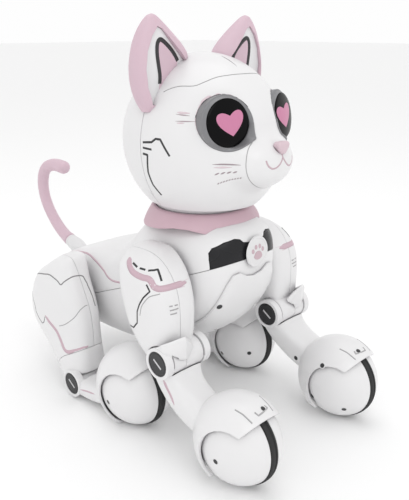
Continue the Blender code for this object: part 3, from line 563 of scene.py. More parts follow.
def mudguard(ob, x0, y0):
    """Opens the wheel space in a limb that already holds the guard's outer egg."""
    cut(ob, ellipsoid((x0, y0, WHEEL_R), (GUARD_IN[0], GUARD_IN[1], GUARD_IN[1]), 96, 48),
        guard_cut(y0, x0 - 34, x0 + 34))
    return ob


def cuff(x_o, x_i):
    """Knee guard in front of the upper arm's foot: x, y, lower z, upper z."""
    line = [(x_o - 0.3, 61.0, 69.0, 83.0), (x_o - 0.53, 54.0, 73.5, 88.0), (x_o - 6.0, 48.6, 75.0, 91.0),
            (x_o - 14.5, 45.0, 74.3, 93.0), (x_o - 22.0, 48.0, 72.0, 86.6), (x_o - 29.0, 51.6, 69.8, 80.4),
            (x_o - 36.5, 55.5, 68.0, 78.4), (x_o - 39.0, 61.0, 67.0, 77.0)]
    rings = []
    for k, dy in ((0.0, 2.4), (0.12, 0.6), (0.5, 0.2), (0.88, 0.0), (1.0, 1.4)):
        rings.append(np.array([(x, y + dy, lo + (hi - lo) * k) for x, y, lo, hi in line]))
    return loft(rings)


def arm_room(p, q):
    """Room for the upper arm's foot while the elbow bends."""
    y, z = ELBOW
    out = [(y - 12.17, z - 1.1), (y - 11.6, z + 6), (y - 7.6, z + 12), (y - 7.4, z + 26), (y + 45, z + 26), (y + 45, z - 9),
           (y + 7, z - 9.3)]
    return prism(out, 0, p, q)


def rim_line(lift=0.0):
    """Line where the foot's cup ends on the haunch (y, z), front to rear."""
    y0, z0 = ANKLE
    pts = [(120.0, 64.9 + lift), (131.0, 58.8 + lift), (178.6, 33.6 + lift)]
    r = math.hypot(178.6 - y0, 33.6 - z0) + lift
    a0 = math.atan2(33.6 - z0, 178.6 - y0)
    for a in np.linspace(a0, -0.5, 6)[1:]:
        pts.append((y0 + r * math.cos(a), z0 + r * math.sin(a)))
    return pts


def below_rim(lift):
    line = rim_line(lift)
    return prism(line + [(line[-1][0], -30), (120, -30)], 0, 0, 120)


def above_rim():
    line = rim_line(0.0)
    return prism([(120, 140)] + line + [(line[-1][0], -30), (270, -30), (270, 140)], 0, 0, 121)


def ankle_tongue(lo, hi):
    """Ankle tongue outline: down the front, round the axis, up the back."""
    y0, z0 = ANKLE
    r = 10.6
    pts = [(165.6, 58.0), (165.4, 29.0), (162.6, 20.6), (160.6, 18.6), (157.4, 16.6), (156.9, 14.0)]
    for a in np.linspace(math.pi + 0.5, 2 * math.pi - 0.3, 8):
        pts.append((y0 + r * math.cos(a), z0 + r * math.sin(a)))
    pts += [(190.0, 34.0), (194.0, 58.0)]
    return prism(pts, 0, lo, hi)


def ankle_slot(lo, hi):
    """Fork of the foot, open at the back and below."""
    return prism([(164.2, 60.0), (164.0, 31.6), (156.4, 21.8), (155.6, 14.0), (155.6, -9.0), (246.0, -9.0), (246.0, 60.0)], 0, lo, hi)


# ------------------------------------------------------------------ finishing
def soften(ob, bevel=0.0, angle=38.0, seg=2):
    """Rounds the sharp edges a little and shades the rest smooth."""
    me = ob.data
    if bevel > 0:
        bm = bmesh.new()
        bm.from_mesh(me)
        bmesh.ops.remove_doubles(bm, verts=bm.verts, dist=2e-6)
        bmesh.ops.dissolve_degenerate(bm, edges=bm.edges, dist=2e-6)
        bm.to_mesh(me)
        bm.free()
        m = ob.modifiers.new("bevel", "BEVEL")
        m.width = bevel * 0.001
        m.segments = seg
        m.limit_method = "ANGLE"
        m.angle_limit = math.radians(angle)
        m.use_clamp_overlap = True
        m.harden_normals = False
        apply(ob)
        me = ob.data
    bm = bmesh.new()
    bm.from_mesh(me)
    for e in bm.edges:
        e.smooth = len(e.link_faces) == 2 and e.calc_face_angle(0.0) < math.radians(angle)
    for f in bm.faces:
        f.smooth = True
    bm.to_mesh(me)
    bm.free()
    return ob


def apply(ob):
    dg = bpy.context.evaluated_depsgraph_get()
    dg.update()
    me = bpy.data.meshes.new_from_object(ob.evaluated_get(dg))
    ob.modifiers.clear()
    old = ob.data
    ob.data = me
    bpy.data.meshes.remove(old)
    return ob


def move_verts(ob, rule):
    me = ob.data
    co = np.zeros(len(me.vertices) * 3)
    me.vertices.foreach_get("co", co)
    p = co.reshape(-1, 3) * 1000
    p[:, 1] += Y_REF
    p = rule(p)
    p[:, 1] -= Y_REF
    me.vertices.foreach_set("co", (p * 0.001).ravel())
    me.update()
    return ob


def show(ob, name, look, body, node=None):
    """Names a piece, gives it its finish and body, and hides the CAD node that it stands for."""
    ob.name = name + "_skin"
    ob.data.name = name + "_skin"
    ob.data.materials.clear()
    ob.data.materials.append(LOOKS[look])
    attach(ob, body)
    if node:
        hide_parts(*([node] if isinstance(node, str) else node))
    return ob


def twin(ob):
    me = ob.data.copy()
    for v in me.vertices:
        v.co.x = -v.co.x
    me.flip_normals()
    other = bpy.data.objects.new("work", me)
    bpy.context.collection.objects.link(other)
    return other


def both(ob, name, look, body, node=None):
    """Left piece and its mirrored right twin; body and node are stems."""
    other = twin(ob)
    for o, w in ((ob, "left"), (other, "right")):
        b = body if body in frame["bodies"] else body + "_" + w
        show(o, name + "_" + w, look, b, node + "_" + w if node else None)
    return ob, other


def mm(v):
    return Vector((v[0] * 0.001, (v[1] - Y_REF) * 0.001, v[2] * 0.001))


def tree(ob):
    return BVHTree.FromPolygons([v.co.copy() for v in ob.data.vertices], [tuple(p.vertices) for p in ob.data.polygons])


def dense(points, step=0.8, closed=False, curved=True):
    """Points every step mm along a curve through the given points."""
    p = [np.array(q, float) for q in points]
    if closed:
        p = p + [p[0]]
    rows = np.array(p)
    n = max(2, int(np.sum(np.linalg.norm(np.diff(rows, axis=0), axis=1)) / step))
    if not curved:
        out = []
        for a, b in zip(rows[:-1], rows[1:]):
            k = max(1, int(np.linalg.norm(b - a) / step))
            out += [a + (b - a) * i / k for i in range(k)]
        return np.array(out + [rows[-1]])
    if closed:
        q = np.vstack([rows[-2], rows, rows[1]])
    else:
        q = np.vstack([2 * rows[0] - rows[1], rows, 2 * rows[-1] - rows[-2]])
    m = len(rows) - 1
    out = []
    for t in np.linspace(0, m, n):
        i = min(int(t), m - 1)
        f = t - i
        a, b, c, d = q[i:i + 4]
        out.append(0.5 * (2 * b + (c - a) * f + (2 * a - 5 * b + 4 * c - d) * f * f + (3 * b - 3 * c + d - a) * f ** 3))
    return np.array(out)


def ribbon(on, points, width, lift=0.10, depth=0.35, along=None, step=0.8, closed=False, curved=True, taper=0.0):
    """Thin band of paint or inlay that follows a surface.

    on: mesh piece the band lies on; points: rough positions in mm; along: ray
    direction used to drop the points on the surface, or None for the nearest place.
    width may be a number or a (start, end) pair.
    """
    bvh = on if isinstance(on, BVHTree) else tree(on)
    pts = dense(points, step, closed, curved)
    pos, nor = [], []
    for p in pts:
        q = mm(p)
        if along is None:
            loc, nrm, _, _ = bvh.find_nearest(q)
        else:
            d = Vector(along).normalized()
            loc, nrm, _, _ = bvh.ray_cast(q - d * 0.2, d)
        if loc is None:
            continue
        pos.append(np.array(loc) * 1000)
        nor.append(np.array(nrm))
    pos, nor = np.array(pos), np.array(nor)
    if closed:
        pos, nor = pos[:-1], nor[:-1]
    n = len(pos)
    # neighbouring normals are averaged so that the band lies smoothly
    for _ in range(3):
        if closed:
            nor = nor + np.roll(nor, 1, 0) + np.roll(nor, -1, 0)
        else:
            mid = nor.copy()
            mid[1:-1] = nor[1:-1] + nor[2:] + nor[:-2]
            nor = mid
        nor /= np.linalg.norm(nor, axis=1, keepdims=True)
    v, f = [], []
    w0, w1 = (width, width) if np.isscalar(width) else width
    for i in range(n):
        a = pos[(i - 1) % n if closed else max(i - 1, 0)]
        b = pos[(i + 1) % n if closed else min(i + 1, n - 1)]
        t = b - a
        t /= max(np.linalg.norm(t), 1e-9)
        s = np.cross(nor[i], t)
        s /= max(np.linalg.norm(s), 1e-9)
        k = i / max(n - 1, 1)
        h = 0.5 * (w0 + (w1 - w0) * k)
        if taper and not closed:
            h *= min(1.0, 0.25 + 0.75 * min(k, 1 - k) / taper)
        edge = []
        for side in (-1, 1):
            q = Vector([float(c) * 0.001 for c in pos[i] + s * h * side])
            loc, nrm, _, dist = bvh.find_nearest(q)
            e = np.array(loc) * 1000 if loc is not None and dist < 0.003 else pos[i] + s * h * side
            edge.append(e)
        v += [edge[0] - nor[i] * depth, edge[0] + nor[i] * lift * 0.55, pos[i] + nor[i] * lift,
              edge[1] + nor[i] * lift * 0.55, edge[1] - nor[i] * depth]
    v = [(q[0] * 0.001, q[1] * 0.001, q[2] * 0.001) for q in v]
    m = 5
    last = n if closed else n - 1
    for i in range(last):
        j = (i + 1) % n
        for k in range(m):
            l = (k + 1) % m
            f.append((i * m + k, j * m + k, j * m + l, i * m + l))
    if not closed:
        f.append(tuple(range(m)))
        f.append(tuple(range((n - 1) * m + m - 1, (n - 1) * m - 1, -1)))
    me = bpy.data.meshes.new("band")
    me.from_pydata(v, [], f)
    me.validate()
    ob = bpy.data.objects.new("work", me)
    bpy.context.collection.objects.link(ob)
    outward(ob)
    for p in me.polygons:
        p.use_smooth = True
    return ob


def patch(on, outline, lift=0.12, depth=0.4, along=(0, 1, 0), axis=1, cell=0.9):
    """Filled inlay: an outline in the plane across axis, laid on a surface.

    A grid over the outline is dropped on the surface along the ray direction."""
    bvh = on if isinstance(on, BVHTree) else tree(on)
    other = [i for i in range(3) if i != axis]
    poly = [Vector((p[0], p[1])) for p in outline]
    lo = np.min(np.array(outline), 0)
    hi = np.max(np.array(outline), 0)
    bm = bmesh.new()
    ring = [bm.verts.new((p.x, p.y, 0)) for p in poly]
    bm.faces.new(ring)
    bmesh.ops.triangulate(bm, faces=bm.faces)
    for k in (0, 1):
        c = lo[k] + cell
        while c < hi[k]:
            nrm = (1, 0, 0) if k == 0 else (0, 1, 0)
            co = (c, 0, 0) if k == 0 else (0, c, 0)
            bmesh.ops.bisect_plane(bm, geom=bm.verts[:] + bm.edges[:] + bm.faces[:], plane_co=co, plane_no=nrm)
            c += cell
    bmesh.ops.remove_doubles(bm, verts=bm.verts, dist=1e-4)
    d = Vector(along).normalized()
    top = {}
    for v in bm.verts:
        q = [0.0, 0.0, 0.0]
        q[other[0]], q[other[1]] = v.co.x, v.co.y
        q[axis] = 0.0
        start = mm(q)
        start = start - d * 0.4
        loc, nrm, _, _ = bvh.ray_cast(start, d)
        if loc is None:
            loc, nrm, _, _ = bvh.find_nearest(mm(q))
        top[v.index if v.index >= 0 else id(v)] = (loc, nrm)
        v.co = loc
        v.normal = nrm
    bm.normal_update()
    res = bmesh.ops.extrude_face_region(bm, geom=bm.faces[:])
    moved = [g for g in res["geom"] if isinstance(g, bmesh.types.BMVert)]
    for v in moved:
        v.co = v.co - d * (lift * 0.001)
    keepers = set(moved)
    for v in bm.verts:
        if v not in keepers:
            v.co = v.co + d * (depth * 0.001)
    bmesh.ops.recalc_face_normals(bm, faces=bm.faces)
    me = bpy.data.meshes.new("inlay")
    bm.to_mesh(me)
    bm.free()
    ob = bpy.data.objects.new("work", me)
    bpy.context.collection.objects.link(ob)
    return soften(ob, 0.0, 40)


# ------------------------------------------------------------------ materials
LOOKS = {}


def look(name, colour, rough, metal=0.0, bump=0.04, scale=900.0, coat=0.0, vary=0.03, sheen=0.0, sub=0.0,
         spec=0.5, crevice_shade=0.0):
    """Moulded plastic or rubber: fine texture in the height, gloss and colour, all from noise in object space; an
    optional amount paints shade into the colour where ambient occlusion finds creases and recesses.
    """
    m = bpy.data.materials.new(name)
    m.use_nodes = True
    nt = m.node_tree
    bsdf = nt.nodes["Principled BSDF"]
    bsdf.inputs["Metallic"].default_value = metal
    bsdf.inputs["Specular IOR Level"].default_value = spec
    if coat:
        bsdf.inputs["Coat Weight"].default_value = coat
        bsdf.inputs["Coat Roughness"].default_value = 0.12
    if sheen:
        bsdf.inputs["Sheen Weight"].default_value = sheen
    if sub:
        bsdf.inputs["Subsurface Weight"].default_value = sub
        bsdf.inputs["Subsurface Radius"].default_value = (0.006, 0.004, 0.004)
        bsdf.inputs["Subsurface Scale"].default_value = 0.6
    geo = nt.nodes.new("ShaderNodeTexCoord")
    n1 = nt.nodes.new("ShaderNodeTexNoise")
    n1.inputs["Scale"].default_value = scale
    n1.inputs["Detail"].default_value = 3.0
    n2 = nt.nodes.new("ShaderNodeTexNoise")
    n2.inputs["Scale"].default_value = 26.0
    n2.inputs["Detail"].default_value = 4.0
    nt.links.new(geo.outputs["Object"], n1.inputs["Vector"])
    nt.links.new(geo.outputs["Object"], n2.inputs["Vector"])
    ramp = nt.nodes.new("ShaderNodeMapRange")
    ramp.inputs["From Min"].default_value = 0.3
    ramp.inputs["From Max"].default_value = 0.7
    ramp.inputs["To Min"].default_value = rough - 0.05
    ramp.inputs["To Max"].default_value = rough + 0.07
    nt.links.new(n2.outputs["Fac"], ramp.inputs["Value"])
    nt.links.new(ramp.outputs["Result"], bsdf.inputs["Roughness"])
    mix = nt.nodes.new("ShaderNodeMix")
    mix.data_type = "RGBA"
    mix.inputs[6].default_value = (*colour, 1)
    mix.inputs[7].default_value = (*[c * (1 - vary * 2.2) for c in colour], 1)
    nt.links.new(n2.outputs["Fac"], mix.inputs[0])
    last = mix.outputs[2]
    # painted shade: ambient occlusion darkens the colour towards grey in creases, corners and recesses
    if crevice_shade:
        ao = nt.nodes.new("ShaderNodeAmbientOcclusion")
        ao.inputs["Distance"].default_value = 0.006
        ao.samples = 6
        dark = nt.nodes.new("ShaderNodeMix")
        dark.data_type = "RGBA"
        dark.blend_type = "MULTIPLY"
        curve = nt.nodes.new("ShaderNodeMapRange")
        curve.inputs["From Min"].default_value = 0.15
        curve.inputs["From Max"].default_value = 0.75
        curve.inputs["To Min"].default_value = crevice_shade
        curve.inputs["To Max"].default_value = 0.0
        nt.links.new(ao.outputs["AO"], curve.inputs["Value"])
        nt.links.new(curve.outputs["Result"], dark.inputs[0])
        nt.links.new(last, dark.inputs[6])
        dark.inputs[7].default_value = (0.55, 0.54, 0.56, 1)
        last = dark.outputs[2]
    nt.links.new(last, bsdf.inputs["Base Color"])
    b = nt.nodes.new("ShaderNodeBump")
    b.inputs["Strength"].default_value = bump
    b.inputs["Distance"].default_value = 0.0004
    nt.links.new(n1.outputs["Fac"], b.inputs["Height"])
    nt.links.new(b.outputs["Normal"], bsdf.inputs["Normal"])
    LOOKS[name] = m
    return m


def make_looks():
    # several looks below take an amount of painted shade, which darkens the colour in creases and recesses
    look("white", (0.79, 0.785, 0.79), 0.33, bump=0.06, scale=1400, coat=0.15, vary=0.010, crevice_shade=0.6)
    look("white_trim", (0.75, 0.745, 0.75), 0.37, bump=0.07, scale=1400, coat=0.08, vary=0.010, crevice_shade=0.6)
    look("light_grey", (0.60, 0.60, 0.61), 0.40, bump=0.06, scale=1200, vary=0.02)
    look("ear_white", (0.78, 0.78, 0.785), 0.42, bump=0.06, scale=1300, vary=0.01, crevice_shade=0.3)
    look("pink", (0.60, 0.415, 0.475), 0.44, bump=0.09, scale=1100, vary=0.02, crevice_shade=0.5)
    look("soft_pink", (0.66, 0.49, 0.56), 0.46, bump=0.09, scale=1100, vary=0.02, sub=0.05, crevice_shade=0.45)
    look("paint_pink", (0.60, 0.43, 0.49), 0.42, bump=0.05, scale=1300, vary=0.02)
    look("paint_grey", (0.11, 0.11, 0.115), 0.42, bump=0.03, scale=1400, vary=0.03)
    look("heart", (0.60, 0.21, 0.36), 0.34, bump=0.02, scale=1400, coat=0.1, vary=0.03)
    look("black", (0.022, 0.022, 0.024), 0.40, bump=0.08, scale=1300, vary=0.08)
    look("servo", (0.030, 0.030, 0.032), 0.50, bump=0.12, scale=1000, vary=0.08)
    look("window", (0.020, 0.020, 0.022), 0.24, bump=0.01, scale=900, vary=0.05, spec=0.2)
    look("rubber", (0.024, 0.024, 0.025), 0.72, bump=0.25, scale=1500, vary=0.12)
    look("silver", (0.23, 0.23, 0.24), 0.38, metal=0.25, bump=0.06, scale=1500, vary=0.03)
    look("lens", (0.003, 0.003, 0.0035), 0.16, bump=0.004, scale=700, vary=0.05, spec=0.10)
    look("board", (0.02, 0.16, 0.07), 0.45, bump=0.25, scale=420, vary=0.12)
    look("cell", (0.08, 0.17, 0.42), 0.38, bump=0.05, scale=700, vary=0.05)
    look("steel", (0.50, 0.50, 0.52), 0.28, metal=1.0, bump=0.1, scale=1800, vary=0.04)
    look("mark", (0.030, 0.030, 0.032), 0.42, bump=0.05, scale=1300, vary=0.08)
    # painted shade: grey for lines along grooves and seams, standing for the shadow in them
    look("groove_shade", (0.25, 0.245, 0.25), 0.5, bump=0.05, scale=1300, vary=0.04)
    look("nose_pink", (0.68, 0.53, 0.58), 0.40, bump=0.06, scale=1300, vary=0.02, crevice_shade=0.3)
    look("blush", (0.70, 0.585, 0.625), 0.42, bump=0.05, scale=1300, vary=0.02)
    look("lash", (0.40, 0.32, 0.345), 0.45, bump=0.05, scale=1300, vary=0.04)
    look("whisker", (0.36, 0.30, 0.32), 0.45, bump=0.05, scale=1300, vary=0.04)
    # grey lines: painted shade round the muzzle and along the haunch's cross seam; the same grey also colours the bars
    # and lines on the arm and mudguard
    look("crease", (0.40, 0.395, 0.40), 0.45, bump=0.05, scale=1300, vary=0.03)
    look("smile", (0.58, 0.43, 0.475), 0.45, bump=0.05, scale=1300, vary=0.03)
    look("seam", (0.06, 0.06, 0.065), 0.60, bump=0.05, scale=900, vary=0.05)


# ----------------------------------------------------------------- the pieces
def body_pieces():
    solid = torso(0.0, 96, 96)
    core = torso(-WALL, 40, 48)
    for name, upper in (("upper_body_shell", True), ("lower_body_shell", False)):
        s = solid.copy()
        s.data = solid.data.copy()
        bpy.context.collection.objects.link(s)
        c = core.copy()
        c.data = core.data.copy()
        bpy.context.collection.objects.link(c)
        cut(s, c)
        cut(s, below_seam(0.22) if upper else above_seam(-0.22))
        side_x = 60
        cut(s, cylinder((0, SHOULDER[0], SHOULDER[1]), (1, 0, 0), -side_x, side_x, 7.4, 40),
            cylinder((0, HIP[0], HIP[1]), (1, 0, 0), -side_x, side_x, 7.4, 40))
        if upper:
            cut(s, cylinder((NECK[0], NECK[1], 150), (0, 0, 1), 0, 20, 11.0, 48),
                prism(window_outline(0.35), 1, 20, 72),
                lathe([(-16, 0), (-16, 3.6), (6, 3.6), (6, 0)], TAIL_BASE, TAIL_AXIS, 32))
        else:
            cut(s, box((-60, 100, 20), (60, 240, BELLY_Z)))
            cut(s, box((-17.4, 139.6, 20), (17.4, 196.4, 50)), box((-3.6, 206.6, 20), (3.6, 219.4, 52)))
            # speaker slots under the chest
            for i in range(-3, 4):
                half = math.sqrt(max(0.0, 11.0 ** 2 - (i * 3.4) ** 2))
                cut(s, box((-half, 96 + i * 3.4 - 0.8, 40), (half, 96 + i * 3.4 + 0.8, 66)))
        show(soften(s, 0.35), name, "white", "torso", name)
        PIECES[name] = s
    w = solid.copy()
    w.data = solid.data.copy()
    bpy.context.collection.objects.link(w)
    move_verts(w, lambda p: p)
    cut(w, torso(-1.8, 40, 48))
    keep(w, prism(window_outline(0.0), 1, 22, 70))
    cut(w, below_seam(0.22))
    show(soften(w, 0.25), "sensor_window", "window", "torso", "sensor_window")
    PIECES["sensor_window"] = w
    p = cut(torso(1.7, 96, 96), torso(GAP, 60, 64))
    keep(p, prism(plate_outline(), 1, 20, 108))
    cut(p, above_seam(-0.25))
    show(soften(p, 0.7, 38, 3), "chest_plate", "white", "torso", "chest_plate")
    PIECES["chest_plate"] = p
    bpy.data.objects.remove(solid, do_unlink=True)
    bpy.data.objects.remove(core, do_unlink=True)

    m = lathe([(0, 0), (0, 10.4), (0.35, 11.1), (1.0, 11.4), (2.2, 11.4), (2.8, 11.0), (3.1, 10.2), (3.15, 9.5),
               (2.75, 9.1), (2.75, 8.8), (3.05, 4.5), (3.15, 0)], (0, 41.2, 140.1), (0, -1, 0.08), 96)
    cut(m, torso(1.7 + GAP, 60, 64))
    show(soften(m, 0.0, 30), "chest_medallion", "white_trim", "torso", "chest_medallion")
    PIECES["chest_medallion"] = m

    c = collar()
    show(soften(c, 0.35), "neck_collar", "pink", "torso", "neck_collar")
    PIECES["neck_collar"] = c

    h = cut(torso(0.0, 96, 96), torso(-3.4, 30, 32))
    keep(h, box((-17.0, 140.0, BELLY_Z), (17.0, 196.0, 50)))
    cut(h, cylinder((0, 190.0, 0), (0, 0, 1), 20, 60, 2.0, 32))
    for i in range(5):
        cut(h, box((-7.0, 146.0 + 2.4 * i, 30), (7.0, 147.2 + 2.4 * i, BELLY_Z + 0.5)))
    show(soften(h, 0.3), "battery_cover", "white_trim", "torso", "battery_cover")
    sc = lathe([(0.4, 0), (0.4, 1.0), (0.8, 1.6), (1.9, 1.65), (1.9, 1.1), (9, 1.1), (9, 0)],
               (0, 190.0, BELLY_Z), (0, 0, 1), 32)
    cut(sc, box((-1.3, 189.75, 30), (1.3, 190.25, BELLY_Z + 0.95)), box((-0.25, 188.7, 30), (0.25, 191.3, BELLY_Z + 0.95)))
    show(soften(sc, 0.06), "battery_cover_screw", "steel", "torso", "battery_cover_screw")
    s = lathe([(-27, 2.6), (-27, 4.6), (-19, 6.2), (-13, 7.0), (-9, 7.0), (-6, 6.7), (-3.4, 6.3), (-3.0, 5.8), (-2.6, 5.8), (-2.2, 6.1),
               (-0.5, 6.0), (-0.1, 5.6), (-0.1, 2.6)], TAIL_BASE, TAIL_AXIS, 64, closed=True)
    cut(s, torso(0.05, 60, 64))
    show(soften(s, 0.15), "tail_socket", "white_trim", "torso", "tail_socket")
    k = box((-3.0, 211.0, 34.6), (3.0, 215.0, 43.5))
    for i in range(3):
        cut(k, box((-3.5, 211.9 + i * 0.95, 30), (3.5, 212.2 + i * 0.95, 35.1)))
    show(soften(k, 0.25), "power_switch", "black", "power_switch_knob", "power_switch")


LENS_OUT = 3.2  # how far the dark lens stands forward of the eye's rear plane
COLLAR_EDGE = [  # turn about the neck from the front (degrees), lower edge height
    (0, 153.6), (12, 153.8), (24, 154.2), (27, 153.4), (29, 151.8), (34, 152.6), (44, 154.6), (58, 157.0), (72, 157.2),
    (90, 154.6), (120, 152.0), (150, 151.6), (180, 151.6)]


def collar():
    ang = np.array([a for a, _ in COLLAR_EDGE], float)
    zs = np.array([z for _, z in COLLAR_EDGE])
    n = 144
    rings = []
    prof = [(34.3, 165.2), (34.8, 166.2), (35.8, 166.4), (37.2, 165.8), (38.2, 164.6)]
    low = []
    for j in range(n):
        t = 360.0 * j / n
        a = t if t <= 180 else 360 - t
        low.append(float(np.interp(a, ang, zs)))
    low = np.array(low)
    th = np.radians(np.arange(n) * 360.0 / n)
    dx, dy = np.sin(th), -np.cos(th)

    def ring(r, z):
        r = np.broadcast_to(r, (n,))
        z = np.broadcast_to(z, (n,))
        return np.stack([NECK[0] + dx * r, NECK[1] + dy * r, z], 1)

    for r, z in prof:
        rings.append(ring(r, z))
    for k in (0.25, 0.5, 0.75, 0.94, 1.0):
        z = 164.6 + (low - 164.6) * k
        r = 38.2 + 6.0 * (1 - (1 - k) ** 1.35)
        rings.append(ring(r - (0.25 if k == 1.0 else 0.0), z))
    rings.append(ring(42.3, low + 0.1))
    rings.append(ring(34.3, low + 0.1))
    v = [tuple(q) for r in rings for q in r]
    f = []
    m = len(rings)
    for i in range(m):
        a, b = i * n, ((i + 1) % m) * n
        for j in range(n):
            k = (j + 1) % n
            f.append((a + j, a + k, b + k, b + j))
    c = mesh(v, f)
    cut(c, torso(0.1, 90, 96))
    return c


def tail_piece():
    rows = smooth(TAIL, 64)
    rows[:, 2] -= 0.12
    rings, seg = [], 28
    t = np.linspace(0, 2 * math.pi, seg, endpoint=False)

    def hoop(y, z, d, r):
        nrm = np.array([-d[1], d[0]])
        return np.stack([r * np.cos(t), y + nrm[0] * r * np.sin(t), z + nrm[1] * r * np.sin(t)], 1)

    y, z, r = rows[0]
    d = rows[1][:2] - rows[0][:2]
    d /= np.linalg.norm(d)
    rings.append(hoop(y - d[0] * 0.0, z - d[1] * 0.0, d, r - 0.7))
    rings.append(hoop(y + d[0] * 0.3, z + d[1] * 0.3, d, r - 0.1))
    for i, (y, z, r) in enumerate(rows[1:], 1):
        a, b2 = rows[max(i - 1, 0)], rows[min(i + 1, len(rows) - 1)]
        d = np.array([b2[0] - a[0], b2[1] - a[1]])
        d /= np.linalg.norm(d)
        rings.append(hoop(y, z, d, r))
    y, z, r = rows[-1]
    for a in (0.25, 0.5, 0.75, 1.0, 1.25, 1.45):
        rings.append(hoop(y + d[0] * r * math.sin(a), z + d[1] * r * math.sin(a), d, r * math.cos(a)))
    tail = loft(rings)
    add(tail, cylinder(TAIL_BASE, TAIL_AXIS, -13, 3, 2.1, 32),
        lathe([(0.15, 0), (0.15, 5.3), (0.9, 5.6), (2.0, 5.5), (3.2, 4.9), (4.3, 3.6), (4.9, 1.8), (5.0, 0)], TAIL_BASE, TAIL_AXIS, 48))
    show(soften(tail, 0.0, 35), "tail", "soft_pink", "tail_body", "tail")
    PIECES["tail"] = tail


def head_pieces():
    for name, front in (("face_shell", True), ("head_back_shell", False)):
        lo, hi = (0.01, math.pi / 2) if front else (math.pi / 2, math.pi - 0.01)
        rings = list(head_skin(0.0, 90 if front else 48, 128, lo, hi, HEAD_SEAM_Y))
        gap = 0.28
        # the rim of each half turns in a little, which draws the parting line
        edge = rings[-1] if front else rings[0]
        c = np.array([0.0, HEAD_SEAM_Y, 212.0])
        s = -1 if front else 1
        lips = []
        for shrink, dy in ((0.0, 0.55), (0.12, 0.30), (0.5, 0.12)):
            q = edge.copy()
            out = q - c
            q -= out / np.linalg.norm(out, axis=1, keepdims=True) * shrink
            q[:, 1] = HEAD_SEAM_Y + s * (gap * 0.5 + dy * 0.5)
            lips.append(q)
        back = edge - (edge - c) * 0.10
        back[:, 1] = HEAD_SEAM_Y + s * gap * 0.5
        lips.append(back)
        rings = rings[:-1] + lips if front else lips[::-1] + rings[1:]
        h = loft(rings)
        cut(h, box((-90, -5, 120), (90, 171.3, HEAD_CUT_Z + 0.37)))
        if front:
            for sx in (1, -1):
                cut(h, cylinder(eye_at(sx), eye_dir(sx), -17, 16, BEZEL_R + 0.15, 96))
            cut(h, lathe([(-8, 0), (-8, 4.9), (3.8, 4.9), (3.8, 0)], (0, 20, 217.6), (0, 1, 0), 40))
        PIECES[name] = show(soften(h, 0.0, 40), name, "white", "head", name)
    t = lathe([(0, 0), (0, 34.9), (-0.4, 35.5), (-3, 34.4), (-6, 33.2), (-6.9, 32.6), (-6.9, 14), (-8, 10.2),
               (-32.5, 10.2), (-32.5, 0)], (NECK[0], NECK[1], HEAD_CUT_Z), (0, 0, 1), 96)
    show(soften(t, 0.0, 35), "neck_turntable", "white_trim", "head", "neck_turntable")
    skin = tree(head_egg(0.0, 110, 128))

    # eyes: silver funnel round a black dome with a heart in it
    ax = np.array(eye_dir(1))
    c0 = np.array(eye_at(1))
    u = np.cross(ax, (0.0, 0.0, 1.0))
    u /= np.linalg.norm(u)
    w = np.cross(u, ax)
    n = 128
    outer = []
    rim = []
    for j in range(n):
        a = 2 * math.pi * j / n
        d = math.degrees(a) if a < math.pi else math.degrees(a) - 360.0
        near = min(abs(d + 1.0), abs(d + 63.0)) if -63.0 < d < -1.0 else 0.0
        rim.append(BEZEL_R / math.cos(math.radians(near)))
        radial = u * math.cos(a) + w * math.sin(a)
        q = c0 + radial * rim[-1]
        hit, nrm, _, _ = skin.ray_cast(mm(q + ax * 60), -Vector(ax))
        s = float(np.dot(np.array(hit) * 1000 + np.array([0, Y_REF, 0]) - c0, ax))
        outer.append(s + (0.75 if near else 0.35))
    outer = np.array(outer)
    rim = np.array(rim)

    def hoop(r, s):
        s = np.broadcast_to(s, (n,))
        r = np.broadcast_to(r, (n,))
        return np.array([c0 + (u * math.cos(2 * math.pi * j / n) + w * math.sin(2 * math.pi * j / n)) * r[j] + ax * s[j]
                         for j in range(n)])

    top = np.maximum(outer, 0.3)
    rings = [hoop(BEZEL_R, -12.0), hoop(BEZEL_R, top - 1.4), hoop(rim, top - 0.9), hoop(rim, top - 0.3), hoop(rim - 0.3, top),
             hoop(rim - 0.9, top + 0.05)]
    for k in (0.15, 0.35, 0.6, 0.85, 1.0):
        r = (rim - 0.9) + (EYE_R + 0.35 - rim + 0.9) * k
        rings.append(hoop(r, top + (0.15 + LENS_OUT * 0.85 - top) * k ** 1.2))
    rings += [hoop(EYE_R + 0.2, -1.0), hoop(EYE_R + 0.2, -12.0)]
    v = [tuple(q) for r in rings for q in r]
    f = []
    m = len(rings)
    for i in range(m):
        a, b = i * n, ((i + 1) % m) * n
        for j in range(n):
            k = (j + 1) % n
            f.append((a + j, a + k, b + k, b + j))
    bez = mesh(v, f)
    both(soften(bez, 0.0, 40), "eye_bezel", "silver", "head", "eye_bezel")
    prof = [(-3, 0), (-3, EYE_R)] + [(0.0, EYE_R), (0.25, EYE_R - 0.35)]
    for k in np.linspace(0.1, 1.0, 10):
        r = (EYE_R - 0.35) * (1 - k)
        prof.append((0.25 + 1.45 * (1 - (1 - k) ** 2), r))
    lens = lathe(prof, tuple(c0 + ax * LENS_OUT), eye_dir(1), 96)
    both(soften(lens, 0.0, 50), "eye_lens", "lens", "head", "eye_lens")
    LENS = tree(lens)
    PIECES["heart_frame"] = (c0, ax, u, w, LENS)

    # ears
    ear = ear_solid(48, 40)
    cut(ear, head_egg(0.1, 64, 72))
    cut(ear, prism(ear_mouth(2.6), 1, 70, 92.9))
    both(soften(ear, 0.6, 40, 3), "ear", "soft_pink", "head", "ear")
    PIECES["ear"] = ear
    inner = cut(prism(ear_mouth(2.2), 1, 90.5, 92.5), head_egg(0.1, 64, 72))
    both(soften(inner, 0.3), "ear_inner", "ear_white", "head", "ear_inner")
    PIECES["ear_inner"] = inner
    nose = nose_piece()
    show(soften(nose, 0.0, 50), "nose", "nose_pink", "head", "nose")


